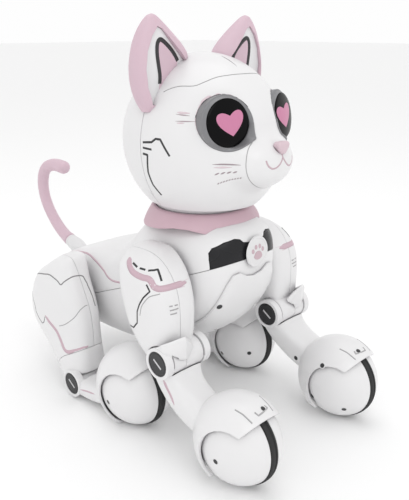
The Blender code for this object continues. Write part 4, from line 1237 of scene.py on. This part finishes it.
def nose_piece():
    """Small rounded triangle, point down."""
    n, rows = 48, []
    for y, k in ((23.4, 0.86), (21.5, 0.93), (20.2, 0.97), (19.0, 1.0), (18.2, 0.93), (17.6, 0.78), (17.25, 0.5), (17.1, 0.15)):
        ring = []
        for j in range(n):
            a = 2 * math.pi * j / n
            r = 1.0 + 0.14 * math.cos(3 * (a + math.pi / 2))
            ring.append((5.4 * k * r * math.cos(a), y, 217.4 + 4.3 * k * r * math.sin(a)))
        rows.append(np.array(ring))
    return loft(rows)


def wheel_set(x0, y0, where, leg, wheel):
    c = (x0, y0, WHEEL_R)
    out = (1, 0, 0)
    prof = [(-3.2, 25), (-3.2, 29.6), (-2.9, 30.2), (-2.3, 30.7), (-1.2, 30.9), (-0.9, 30.9), (-0.8, 30.5), (0.8, 30.5),
            (0.9, 30.9), (1.2, 30.9), (2.3, 30.7), (2.9, 30.2), (3.2, 29.6), (3.2, 25)]
    tyre = lathe(prof, c, out, 120, closed=True)
    both(soften(tyre, 0.0, 40), where + "_tyre", "rubber", wheel, where + "_tyre")
    hub = lathe([(-14, 0), (-14, 2.5), (-2.4, 2.5), (-2.4, 24.6), (2.4, 24.6), (2.4, 2.5), (14, 2.5), (14, 0)],
                c, out, 64)
    both(soften(hub, 0.2), where + "_wheel_hub", "black", wheel, where + "_wheel_hub")
    for side, word in ((1, "outer"), (-1, "inner")):
        prof = []
        prof += [(COVER_X, 0)]
        a0 = 0.02
        a1 = math.acos(3.9 / COVER_X)
        for a in np.linspace(a0, a1, 34):
            prof.append((COVER_X * math.cos(a), COVER_R * math.sin(a)))
        e = COVER_R * math.sin(a1)
        prof += [(3.65, e - 0.15), (3.6, e - 0.5), (3.6, e - 2.0)]
        xi, ri = COVER_X - 2.4, COVER_R - 2.4
        b1, b0 = math.acos(3.9 / xi), math.asin(5.6 / ri)
        for a in np.linspace(b1, b0, 8)[1:]:
            prof.append((xi * math.cos(a), ri * math.sin(a)))
        prof += [(4.3, 5.6), (4.3, 2.9), (15, 2.9), (15, 0)]
        cov = lathe(prof, c, (side, 0, 0), 112)
        peg = keep(cylinder((c[0] + side * 12.0, y0, WHEEL_R), (0, 1, 0), 24.0, 34, 3.0, 24),
                   ellipsoid(c, (GUARD_IN[0] - 1.4, GUARD_IN[1] - 1.5, GUARD_IN[1] - 1.5), 48, 24))
        add(cov, peg)
        both(soften(cov, 0.0, 32), "%s_wheel_cover_%s" % (where, word), "white", leg, "%s_wheel_cover_%s" % (where, word))
        PIECES["%s_wheel_cover_%s" % (where, word)] = cov


def pin(name, x_out, x_in, at, on):
    """Hinge pin with a dished cap on each end, across X."""
    p = lathe([(x_in, 0), (x_in, 7.6), (x_in + 0.25, 7.9), (x_in + 0.25, 8.3), (x_in, 8.6), (x_in + 0.25, 9.0),
               (x_in + 1.7, 9.0), (x_in + 1.7, 3.6), (x_out - 1.7, 3.6), (x_out - 1.7, 9.0), (x_out - 0.25, 9.0),
               (x_out, 8.6), (x_out - 0.25, 8.3), (x_out - 0.25, 7.9), (x_out, 7.6), (x_out, 0)],
              (0, at[0], at[1]), (1, 0, 0), 80)
    both(soften(p, 0.0, 25), name, "black", on, name)
    # a short raised bar across each cap
    for x, s in ((x_out, 1), (x_in, -1)):
        a = math.radians(34)
        half, th = 4.6, 0.75
        q = []
        for i, j in ((-1, -1), (1, -1), (1, 1), (-1, 1)):
            q.append((at[0] + half * i * math.cos(a) - th * j * math.sin(a), at[1] + half * i * math.sin(a) + th * j * math.cos(a)))
        bar = prism(q, 0, min(x - s * 0.4, x + s * 0.09), max(x - s * 0.4, x + s * 0.09))
        both(soften(bar, 0.2), "%s_mark_%s" % (name, "outer" if s > 0 else "inner"), "light_grey", on)


def split(make, x0, name, on, shaft):
    """Two half shells of a limb, parted across X; the inner one has the hinge shaft."""
    for word, outer in (("outer", True), ("inner", False)):
        h = make()
        a, b = (-10, x0 + 0.17) if outer else (x0 - 0.17, 150)
        cut(h, box((a, -60, -20), (b, 330, 200)))
        if not outer:
            add(h, cylinder((0, shaft[0], shaft[1]), (1, 0, 0), 33.5, x0 - 12.3, 7.0, 48))
        nm = "%s_%s" % (name, word)
        both(soften(h, 0.3), nm, "white", on, nm)
        PIECES[nm] = h


def front_leg():
    x_o, x_i = FRONT_TRACK + 20.4, FRONT_TRACK - 20.4
    axis = (0, ELBOW[0], ELBOW[1])

    def arm():
        a = column(ARM, 0.0, 64, 72)
        cut(a, column(ARM, -WALL, 16, 24))
        cut(a, cylinder(axis, (1, 0, 0), x_o - 6.4, x_o + 20, 12.4, 64),
            cylinder(axis, (1, 0, 0), x_i - 20, x_i + 6.4, 12.4, 64))
        add(a, cylinder(axis, (1, 0, 0), x_i + 6.8, x_o - 6.8, 11.0, 64))
        cut(a, cylinder(axis, (1, 0, 0), 0, 120, 4.1, 32))
        return a

    split(arm, ARM_X, "upper_arm", "upper_arm", SHOULDER)

    f = limb(FOREARM, 30, 48)
    add(f, cylinder(axis, (1, 0, 0), x_o - 6.0, x_o, 11.6, 72), cylinder(axis, (1, 0, 0), x_i, x_i + 6.0, 11.6, 72))
    add(f, cuff(x_o, x_i))
    add(f, ellipsoid((FRONT_TRACK, 0, WHEEL_R), (GUARD_OUT[0], GUARD_OUT[1], GUARD_OUT[1]), 96, 48))
    cut(f, cylinder(axis, (1, 0, 0), x_i + 6.05, x_o - 6.05, 12.0, 72))
    cut(f, arm_room(x_i + 5.4, x_o - 5.4))
    mudguard(f, FRONT_TRACK, 0.0)
    cut(f, box((0, -60, -20), (120, 60, 11.0)))
    cut(f, cylinder(axis, (1, 0, 0), 0, 120, 4.1, 32))
    cut(f, cylinder(axis, (1, 0, 0), x_o - 2.0, x_o + 3, 9.25, 64), cylinder(axis, (1, 0, 0), x_i - 3, x_i + 2.0, 9.25, 64))
    both(soften(f, 0.45), "forearm", "white", "front_leg", "forearm")
    PIECES["forearm"] = f
    pin("elbow_pin", x_o - 0.1, x_i + 0.1, ELBOW, "front_leg")
    wheel_set(FRONT_TRACK, 0.0, "front", "front_leg", "front_wheel")


def rear_leg():
    x_o, x_i = REAR_TRACK + 18.0, REAR_TRACK - 18.0
    axis = (0, ANKLE[0], ANKLE[1])

    def front_skin(off, low):
        s = box((20, 140, low), (100, 180, 62))
        return cut(s, column(HAUNCH, off, 32, 48, 2.7, 3.4))

    def haunch():
        h = column(HAUNCH, 0.0, 72, 72, 2.7, 3.4)
        room = column(HAUNCH, -WALL, 16, 24, 2.7, 3.4)
        cut(room, box((0, 100, -20), (120, 260, 54)))
        cut(h, room)
        cut(h, below_rim(0.4))
        t = ankle_tongue(x_i + 6.4, x_o - 6.4)
        cut(t, front_skin(-3.3, 19.6))
        cut(t, box((0, 100, 50), (120, 260, 70)))
        add(h, t)
        cut(h, cylinder(axis, (1, 0, 0), 0, 120, 4.1, 32))
        return h

    split(haunch, HAUNCH_X, "thigh", "thigh", HIP)

    f = column(HAUNCH, 0.0, 72, 72, 2.7, 3.4)
    add(f, limb(FOOT, 24, 48))
    cut(f, above_rim())
    add(f, cylinder(axis, (1, 0, 0), x_o - 5.6, x_o, 11.4, 72), cylinder(axis, (1, 0, 0), x_i, x_i + 5.6, 11.4, 72))
    add(f, ellipsoid((REAR_TRACK, REAR_AXLE_Y, WHEEL_R), (GUARD_OUT[0] - 0.3, GUARD_OUT[1], GUARD_OUT[1]), 96, 48))
    mudguard(f, REAR_TRACK, REAR_AXLE_Y)
    slot = ankle_slot(x_i + 5.8, x_o - 5.8)
    cut(slot, front_skin(-2.4, 22.0))
    cut(f, slot)
    cut(f, box((0, 60, -20), (120, 220, 1.6)))
    cut(f, cylinder(axis, (1, 0, 0), 0, 120, 4.1, 32))
    cut(f, cylinder(axis, (1, 0, 0), x_o - 2.0, x_o + 3, 9.25, 64), cylinder(axis, (1, 0, 0), x_i - 3, x_i + 2.0, 9.25, 64))
    both(soften(f, 0.45), "foot", "white", "rear_leg", "foot")
    PIECES["foot"] = f
    pin("ankle_pin", x_o - 0.1, x_i + 0.1, ANKLE, "rear_leg")
    wheel_set(REAR_TRACK, REAR_AXLE_Y, "rear", "rear_leg", "rear_wheel")


def inner_nodes():
    for node, name in (("battery_pack", "cell"), ("main_circuit_board", "board"), ("speaker", "servo"),
                       ("neck_servo", "servo")):
        ob = frame["nodes"][node]
        ob.data.materials.clear()
        ob.data.materials.append(LOOKS[name])


# --------------------------------------------------------- light and viewpoint
def stage():
    sc = bpy.context.scene
    sc.view_settings.view_transform = "Standard"
    sc.view_settings.look = "None"
    me = bpy.data.meshes.new("floor")
    n, size = 24, 24.0
    v = [((i / n - 0.5) * size, (j / n - 0.5) * size, 0.0) for j in range(n + 1) for i in range(n + 1)]
    f = [(j * (n + 1) + i, j * (n + 1) + i + 1, (j + 1) * (n + 1) + i + 1, (j + 1) * (n + 1) + i)
         for j in range(n) for i in range(n)]
    me.from_pydata(v, [], f)
    fl = bpy.data.objects.new("floor", me)
    sc.collection.objects.link(fl)
    m = bpy.data.materials.new("floor")
    m.use_nodes = True
    bs = m.node_tree.nodes["Principled BSDF"]
    bs.inputs["Base Color"].default_value = (0.97, 0.97, 0.97, 1)
    bs.inputs["Roughness"].default_value = 0.9
    me.materials.append(m)
    w = bpy.data.worlds.new("studio")
    sc.world = w
    w.use_nodes = True
    nt = w.node_tree
    bg = nt.nodes["Background"]
    co = nt.nodes.new("ShaderNodeTexCoord")
    up = nt.nodes.new("ShaderNodeSeparateXYZ")
    fade = nt.nodes.new("ShaderNodeMapRange")
    fade.interpolation_type = "SMOOTHSTEP"
    fade.inputs["From Min"].default_value = 0.25
    fade.inputs["From Max"].default_value = 0.80
    fade.inputs["To Min"].default_value = 0.99
    fade.inputs["To Max"].default_value = 0.92
    nt.links.new(co.outputs["Generated"], up.inputs[0])
    nt.links.new(up.outputs["Z"], fade.inputs["Value"])
    nt.links.new(fade.outputs["Result"], bg.inputs[1])
    bg.inputs[0].default_value = (1, 1, 1, 1)

    def lamp(name, at, energy, size):
        ld = bpy.data.lights.new(name, "AREA")
        ld.energy = energy
        ld.size = size
        lo = bpy.data.objects.new(name, ld)
        sc.collection.objects.link(lo)
        lo.location = at
        lo.rotation_euler = (Vector((0, 0, 0.12)) - Vector(at)).to_track_quat("-Z", "Y").to_euler()

    lamp("key", (-0.55, -0.85, 1.00), 2.0, 0.7)
    lamp("top", (0.10, 0.10, 1.30), 1.8, 0.9)

    turn, tip, focal = math.radians(-45.09), math.radians(18.78), 653.0
    b = np.array([math.sin(turn) * math.cos(tip), -math.cos(turn) * math.cos(tip), math.sin(tip)])
    r = np.array([math.cos(turn), math.sin(turn), 0.0])
    u = np.cross(b, r)
    eye = np.array([-0.33877, -0.24570 - Y_REF / 1000, 0.29113])
    cd = bpy.data.cameras.new("camera")
    cam = bpy.data.objects.new("camera", cd)
    sc.collection.objects.link(cam)
    sc.camera = cam
    cam.matrix_world = Matrix(((r[0], u[0], b[0], eye[0]), (r[1], u[1], b[1], eye[1]), (r[2], u[2], b[2], eye[2]),
                               (0, 0, 0, 1)))
    cd.sensor_fit = "VERTICAL"
    cd.sensor_height = 36
    cd.lens = focal * 36 / 500


PIECES = {}


# ------------------------------------------------------------- printed details, and painted shade along grooves and seams
def flip(points):
    """Points taken on the cat's right side, moved to its left."""
    return [(-p[0], p[1], p[2]) for p in points]


def trees(*names):
    """One surface made of several pieces."""
    v, f = [], []
    for name in names:
        me = PIECES[name].data
        k = len(v)
        v += [p.co.copy() for p in me.vertices]
        f += [tuple(k + i for i in p.vertices) for p in me.polygons]
    return BVHTree.FromPolygons(v, f)


def band(name, on, look_name, body, points, width, **kw):
    both(ribbon(on, flip(points), width, **kw), name, look_name, body)


def dashes(name, on, look_name, body, a, b, count, width, lean=0.0, fill=0.6):
    """A row of short strokes from a to b; lean tips each stroke upwards."""
    a, b = np.array(a), np.array(b)
    for i in range(count):
        p = a + (b - a) * (i / count)
        q = a + (b - a) * ((i + fill) / count)
        p = p - np.array([0, 0, lean])
        q = q + np.array([0, 0, lean])
        band("%s_%d" % (name, i + 1), on, look_name, body, [p, q], width, lift=0.08, step=0.5, curved=False, taper=0.3)


def inlay(bvh, c0, ax, u, w, centre, outline, lift, depth):
    """Raised print on a curved face, laid out in the face's own plane."""
    n = len(outline)
    steps = [0.12, 0.3, 0.5, 0.7, 0.85, 0.96, 1.0]
    c = np.array(centre)
    v, f = [], []

    def drop(p):
        q = c0 + u * p[0] + w * p[1]
        hit, _, _, _ = bvh.ray_cast(mm(q + ax * 60), -Vector(ax))
        if hit is None:
            hit = bvh.find_nearest(mm(q))[0]
        r = np.array(hit) * 1000
        r[1] += Y_REF
        return r

    v.append(drop(c) + ax * lift)
    for k in steps:
        for o in outline:
            v.append(drop(c + (np.array(o) - c) * k) + ax * lift * (1.0 if k < 1 else 0.45))
    for o in outline:
        v.append(drop(o) - ax * depth)
    m = len(steps) + 1
    for j in range(n):
        f.append((0, 1 + j, 1 + (j + 1) % n))
    for i in range(m - 1):
        a, b = 1 + i * n, 1 + (i + 1) * n
        for j in range(n):
            k = (j + 1) % n
            f.append((a + j, b + j, b + k, a + k))
    f.append(tuple(1 + (m - 1) * n + j for j in range(n)))
    ob = mesh([tuple(p) for p in v], f)
    return soften(ob, 0.0, 40)


def heart(lean, dx, dy):
    c, s = math.cos(lean), math.sin(lean)
    out = []
    for j in range(96):
        t = 2 * math.pi * j / 96
        x = 10.0 * math.copysign(abs(math.sin(t)) ** 2.05, math.sin(t))
        y = 0.60 * (12.4 * math.cos(t) - 4.6 * math.cos(2 * t) - 1.5 * math.cos(3 * t) - 0.4 * math.cos(4 * t)) + 0.9
        out.append((x * c - y * s + dx, x * s + y * c + dy))
    return out


def screw(name, bvh, body, at, r=1.7, slot_turn=30.0):
    """Sunk screw: a rim, a dark well and the screw's head in it."""
    hit, nrm, _, _ = bvh.find_nearest(mm(flip([at])[0]))
    p = np.array(hit) * 1000
    p[1] += Y_REF
    axis = tuple(nrm)
    rim = lathe([(-0.7, r - 0.1), (0.02, r - 0.1), (0.14, r + 0.05), (0.14, r + 0.25), (0.0, r + 0.5), (-0.7, r + 0.5)],
                tuple(p), axis, 40, closed=True)
    both(soften(rim, 0.0, 40), name + "_rim", "white_trim", body)
    head = lathe([(-0.7, 0), (-0.7, r - 0.12), (0.03, r - 0.12), (0.06, r - 0.3), (0.05, r * 0.45), (0.02, r * 0.3), (0.02, 0)],
                 tuple(p), axis, 32)
    both(soften(head, 0.0, 40), name + "_head", "mark", body)


def head_print():
    skin = trees("face_shell", "head_back_shell")
    face = trees("face_shell")
    crown = [(-44.8, 85.6, 251.1), (-42.8, 82.2, 253.0), (-39.5, 76.3, 254.9), (-34.8, 67.2, 255.6), (-29.1, 63.3, 257.7),
             (-20.9, 59.8, 260.6), (-12.4, 56.4, 261.9), (0.0, 54.4, 262.3)]
    # painted shade: grey ribbons along the crown seam and the nick in its middle stand for the shadow in those grooves
    show(ribbon(skin, crown + flip(crown[:-1])[::-1], 0.55, lift=0.05), "crown_line", "groove_shade", "head")
    show(ribbon(skin, [(0, 76, 272.8), (0, 70, 271.2), (0, 61, 267.0)], 0.9, lift=0.06, taper=0.3), "crown_nick", "groove_shade", "head")
    band("lash_upper", face, "lash", "head", [(-47.7, 70.6, 238.1), (-46.0, 66.0, 237.8), (-43.8, 61.6, 237.5)], 0.75,
         lift=0.07, taper=0.4)
    band("lash_upper_blush", face, "blush", "head", [(-47.7, 69.8, 239.6), (-46.0, 66.0, 239.3), (-43.6, 61.9, 239.2)], 1.5,
         lift=0.05, taper=0.3)
    band("lash_lower", face, "lash", "head", [(-48.6, 70.0, 233.7), (-46.2, 64.0, 233.9), (-42.9, 57.6, 234.2)], 0.75,
         lift=0.07, taper=0.4)
    band("lash_lower_blush", face, "blush", "head", [(-48.2, 69.0, 232.4), (-46.2, 64.0, 232.7)], 1.0, lift=0.05, taper=0.3)
    dark = dict(lift=0.07, curved=False, step=0.6)
    band("cheek_line_upper", skin, "mark", "head", [(-56.6, 94.3, 218.2), (-56.1, 85.8, 219.2), (-55.4, 82.4, 221.7),
         (-54.7, 78.6, 221.6), (-53.1, 71.5, 211.2)], 1.5, **dark)
    band("cheek_line_short", skin, "mark", "head", [(-56.7, 94.3, 214.6), (-56.3, 85.8, 214.3)], 1.4, **dark)
    band("cheek_line_lower", skin, "mark", "head", [(-56.6, 94.6, 210.5), (-56.5, 89.9, 210.2), (-54.5, 92.0, 197.7),
         (-51.5, 91.0, 188.9), (-47.3, 86.9, 181.3)], 1.6, **dark)
    band("whisker_upper", face, "whisker", "head", [(-37.4, 47.4, 207.0), (-31.5, 41.0, 206.9), (-24.6, 33.8, 206.8)], 1.0,
         lift=0.07, taper=0.3)
    band("whisker_upper_blush", face, "blush", "head", [(-36.8, 47.0, 204.8), (-28.5, 38.4, 205.0)], 1.3, lift=0.05, taper=0.4)
    dashes("whisker_middle", face, "whisker", "head", (-35.6, 47.2, 200.2), (-24.8, 35.6, 202.2), 4, 1.0, lean=0.55, fill=0.78)
    dashes("whisker_lower", face, "whisker", "head", (-32.6, 47.3, 193.4), (-22.0, 34.5, 198.6), 9, 0.85, lean=0.55, fill=0.62)
    # painted shade: a grey ribbon round the edge of the muzzle stands for the shadow in the seam there
    ball = [(-16.2, 32.0, 220.6), (-19.6, 32.0, 217.2), (-21.8, 31.5, 213.0), (-22.9, 31.0, 207.0), (-22.6, 30.6, 202.0),
            (-19.8, 30.6, 196.8), (-15.0, 30.8, 192.6), (-8.0, 31.8, 189.4), (0.0, 32.6, 188.0)]
    show(ribbon(face, ball + flip(ball[:-1])[::-1], 0.6, lift=0.04), "muzzle_line", "crease", "head")
    smile = [(-13.6, 21.9, 209.6), (-13.0, 21.2, 207.2), (-11.6, 20.4, 205.2), (-9.2, 19.8, 203.9), (-6.2, 19.0, 204.3),
             (-3.4, 18.3, 206.2), (-1.3, 18.1, 208.6), (0.0, 18.1, 210.4)]
    show(ribbon(face, smile + flip(smile[:-1])[::-1], 1.15, lift=0.08), "smile", "smile", "head")
    show(ribbon(face, [(0, 19.2, 213.6), (0, 18.2, 209.6)], 1.15, lift=0.08), "smile_stem", "smile", "head")

    c0, ax, u, w, lens = PIECES["heart_frame"]
    left = inlay(lens, c0, ax, u, w, (1.6, 0.6), [(x * 1.12, y) for x, y in heart(math.radians(-7), 1.4, 0.2)], 0.12, 0.5)
    show(left, "heart_left", "heart", "head")
    right = inlay(lens, c0, ax, u, w, (1.4, 0.6), heart(math.radians(8), 1.4, 0.0), 0.12, 0.5)
    other = twin(right)
    bpy.data.objects.remove(right, do_unlink=True)
    show(other, "heart_right", "heart", "head")
    arc = []
    for a in range(72, 196, 6):
        r = BEZEL_R + 2.1
        arc.append(tuple(c0 + (u * math.cos(math.radians(a)) + w * math.sin(math.radians(a))) * r + ax * 2))
    both(ribbon(face, arc, 3.4, lift=0.05, taper=0.35), "lid_blush", "blush", "head")
    # painted shadow: a dark line round the upper rim of each bezel, where the gap between bezel and face lies in shade
    edge = []
    for a in range(20, 175, 5):
        r = BEZEL_R + 0.35
        q = c0 + (u * math.cos(math.radians(a)) + w * math.sin(math.radians(a))) * r + ax * 2
        edge.append(tuple(q))
    both(ribbon(face, edge, 0.7, lift=0.10, taper=0.3), "eye_edge", "mark", "head")

    # ears: pale plate with a pink hollow inside a dark arch
    plate = tree(PIECES["ear_inner"])
    arch = [(44.6, 251.5), (43.7, 256.0), (43.4, 261.5), (44.4, 268.0), (45.3, 274.0), (45.4, 279.0), (44.6, 282.4),
            (42.6, 284.0), (40.2, 283.2), (36.8, 280.8), (32.9, 277.4), (29.6, 273.6), (27.4, 270.2)]
    hollow = arch + [(28.4, 266.0), (33.0, 258.0), (39.0, 250.0)]
    pinky = cut(prism(hollow, 1, 90.28, 90.9), head_egg(0.06, 64, 72))
    both(soften(pinky, 0.0, 40), "ear_hollow", "soft_pink", "head")
    both(ribbon(plate, [(x, 90.5, z) for x, z in arch[1:]], 2.9, lift=0.42, depth=0.3, along=(0, 1, 0)), "ear_arch", "mark", "head")


def leg_print():
    arm = trees("upper_arm_outer", "upper_arm_inner")
    pink = [(-69.6, 97.0, 138.9), (-71.6, 95.2, 137.4), (-73.6, 92.4, 135.2), (-75.4, 87.6, 132.6), (-76.0, 82.0, 131.4),
            (-75.5, 76.0, 130.8), (-74.2, 71.4, 130.6), (-73.6, 68.8, 128.8), (-73.9, 66.0, 126.3), (-72.6, 62.8, 125.4),
            (-69.0, 60.6, 125.4), (-63.0, 59.0, 125.7), (-57.0, 58.9, 125.6), (-51.0, 59.2, 125.2)]
    band("arm_pink_band", arm, "paint_pink", "upper_arm", pink, 4.4, lift=0.06, step=0.7, taper=0.07)
    for i, z in ((1, 126.9), (2, 123.2)):
        band("arm_fine_line_%d" % i, arm, "blush", "upper_arm", [(-60, 58.8, z), (-54, 58.9, z - 0.1), (-47.4, 60.3, z - 0.2)], 0.6,
             lift=0.05, taper=0.5)
    dark = dict(lift=0.10, curved=False, step=0.6)
    band("arm_dash_1", arm, "mark", "upper_arm", [(-72.0, 90.2, 136.9), (-73.3, 84.2, 135.6)], 1.5, **dark)
    band("arm_dash_2", arm, "mark", "upper_arm", [(-73.2, 81.6, 135.5), (-72.5, 76.6, 135.4)], 1.5, **dark)
    band("arm_dash_3", arm, "mark", "upper_arm", [(-71.9, 74.3, 135.2), (-69.4, 70.9, 135.8), (-67.3, 69.6, 136.2),
         (-69.5, 63.4, 130.0)], 1.5, **dark)
    band("arm_dark_line", arm, "mark", "upper_arm", [(-76.6, 71.0, 127.3), (-77.0, 67.2, 123.4), (-79.2, 71.6, 118.2),
         (-80.0, 75.0, 112.6), (-80.2, 77.6, 106.6), (-79.8, 78.4, 97.6), (-79.2, 83.4, 92.2), (-77.9, 88.4, 92.0)], 1.15, **dark)
    band("arm_light_line", arm, "crease", "upper_arm", [(-73.0, 61.2, 122.3), (-77.7, 66.6, 120.0), (-79.4, 70.6, 115.2),
         (-79.9, 73.1, 111.0), (-79.9, 75.0, 104.2)], 0.7, lift=0.05)
    for i, (z, x0, x1) in enumerate(((113.6, -69.6, -67.2), (113.3, -65.4, -62.8), (110.6, -69.4, -62.6), (107.8, -69.2, -64.2))):
        band("arm_bar_%d" % (i + 1), arm, "crease", "upper_arm", [(x0, 55.8, z), (x1, 55.2, z - 0.1)], 0.85, lift=0.28,
             curved=False, step=0.5)

    leg = trees("thigh_outer", "thigh_inner")
    line = dict(lift=0.06, step=0.8)
    # painted shade: grey ribbons along the haunch's V-groove, cross seam and rear notch stand for the shadow in those
    # grooves
    band("haunch_crease_upper", leg, "groove_shade", "thigh", [(-71.5, 224.0, 93.0), (-73.7, 213.2, 96.4), (-74.2, 205.0, 98.2),
         (-74.1, 196.9, 99.6), (-74.5, 186.9, 97.8), (-74.4, 182.0, 95.3), (-72.4, 179.4, 98.0), (-67.4, 175.7, 101.6),
         (-62.4, 173.6, 102.4), (-57.4, 172.6, 101.2), (-55.6, 170.1, 97.2), (-54.0, 166.3, 89.6), (-53.3, 163.2, 83.0),
         (-53.1, 162.4, 76.4)], 1.0, **line)
    band("haunch_crease_cross", leg, "crease", "thigh", [(-77.6, 183.4, 59.2), (-76.6, 176.0, 62.8), (-73.9, 167.4, 69.9),
         (-70.0, 163.2, 76.5), (-64.5, 161.6, 79.6), (-61.4, 161.4, 79.8)], 0.7, **line)
    band("haunch_notch", leg, "groove_shade", "thigh", [(-73.6, 228.6, 75.6), (-75.6, 224.0, 70.0), (-76.4, 220.6, 65.4),
         (-76.6, 219.6, 60.8), (-77.3, 214.6, 56.2), (-77.7, 209.4, 53.4), (-77.9, 206.3, 55.4), (-78.0, 203.6, 61.4)], 0.9,
         lift=0.07, step=0.6, curved=False)
    band("haunch_pink_band", leg, "paint_pink", "thigh", [(-78.0, 203.4, 62.6), (-78.0, 197.8, 58.6), (-77.9, 192.0, 56.0),
         (-77.9, 186.8, 52.6), (-77.6, 182.4, 46.6), (-77.3, 178.6, 40.2), (-76.8, 174.4, 38.6), (-75.4, 169.0, 40.4),
         (-71.6, 164.0, 42.6), (-65.6, 161.0, 45.0)], 3.2, lift=0.06, step=0.7, taper=0.06)
    foot = trees("foot")
    band("foot_pink_line", foot, "paint_pink", "rear_leg", [(-79.6, 155.5, 12.4), (-79.2, 145.9, 14.5), (-78.9, 136.5, 15.8)], 1.2,
         lift=0.06, taper=0.2)
    fore = trees("forearm")
    band("forearm_pink_stripe", fore, "paint_pink", "front_leg", [(-76.9, 55.3, 60.8), (-76.2, 52.8, 55.5), (-76.1, 48.7, 50.4),
         (-76.2, 45.4, 45.0)], (2.6, 1.8), lift=0.06, taper=0.15)


def body_print():
    shell = trees("upper_body_shell", "lower_body_shell")
    band("flank_pink_line", shell, "paint_pink", "torso", [(-33, 224, 106), (-35, 210, 108), (-36.5, 196, 109),
         (-38.3, 183.8, 107.0), (-39.7, 170.9, 102.4), (-40.5, 163.4, 97.8), (-40.8, 156.5, 96.4), (-41.0, 146.0, 97.6),
         (-41.0, 134.0, 98.6)], 1.7, lift=0.06)
    plate = trees("chest_plate")
    screw("chest_screw", plate, "torso", (-26.6, 50.3, 101.8), 2.3)
    screw("chest_screw_low", plate, "torso", (-10.5, 69.8, 71.8), 1.6)
    coin = trees("chest_medallion")
    # generic paw print
    show(patch(coin, [(4.1 * math.cos(a) * (1 + 0.10 * math.cos(3 * (a - math.pi / 2))), 137.6 + 3.1 * math.sin(a))
                      for a in np.linspace(0, 2 * math.pi, 28, endpoint=False)], lift=0.30, depth=0.3), "paw_pad", "smile", "torso")
    for i, (x, z) in enumerate(((-5.2, 141.3), (-2.0, 143.9), (2.0, 143.9), (5.2, 141.3))):
        show(patch(coin, [(x + 1.25 * math.cos(a), z + 1.65 * math.sin(a)) for a in np.linspace(0, 2 * math.pi, 18, endpoint=False)],
                   lift=0.30, depth=0.3, cell=0.7), "paw_toe_%d" % (i + 1), "smile", "torso")


def wheel_print():
    for name, at in (("front_wheel_cover_outer", (-83.5, -2.0, 28.3)), ("rear_wheel_cover_outer", (-86.6, 106.6, 25.8)),
                     ("front_wheel_cover_inner", (-41.0, -16.7, 17.1)), ("rear_wheel_cover_inner", (-44.8, 82.4, 26.4)),
                     ("front_wheel_cover_inner", (-35.7, 8.9, 19.8)), ("rear_wheel_cover_inner", (-38.4, 108.4, 19.2))):
        body = "front_leg" if name.startswith("front") else "rear_leg"
        screw("%s_screw_%d" % (name, round(at[1])), tree(PIECES[name]), body, at, 1.9)
    fore = tree(PIECES["forearm"])
    for i, at in enumerate(((-46.7, 34.5, 39.0), (-34.4, 0.9, 50.0), (-55.5, -16.3, 60.7))):
        screw("forearm_screw_%d" % (i + 1), fore, "front_leg", at, 1.9)
    for side, x in (("outer", -1), ("inner", 1)):
        mid = FRONT_TRACK
        pts = [(-70.4, -5.4, 61.7), (-70.0, -8.6, 61.2), (-69.5, -11.6, 60.4), (-69.2, -15.5, 58.7), (-68.7, -18.6, 57.0)]
        if side == "inner":
            pts = [(-2 * mid - q[0], q[1], q[2]) for q in pts]
        band("guard_line_" + side, fore, "crease", "front_leg", pts, 0.9, lift=0.22, step=0.6)
    band("guard_mark", fore, "crease", "front_leg", [(-63.0, -15.5, 60.9), (-62.3, -18.2, 59.4), (-58.6, -18.2, 59.8),
         (-54.4, -17.6, 59.8), (-51.6, -16.4, 59.8), (-52.6, -14.6, 60.9)], 1.0, lift=0.25, curved=False, step=0.5)


def decorate():
    head_print()
    body_print()
    leg_print()
    wheel_print()


make_looks()
stage()
body_pieces()
tail_piece()
head_pieces()
front_leg()
rear_leg()
inner_nodes()
decorate()

for ob in [o for o in bpy.data.objects if o.name.startswith("work")]:
    bpy.data.objects.remove(ob, do_unlink=True)
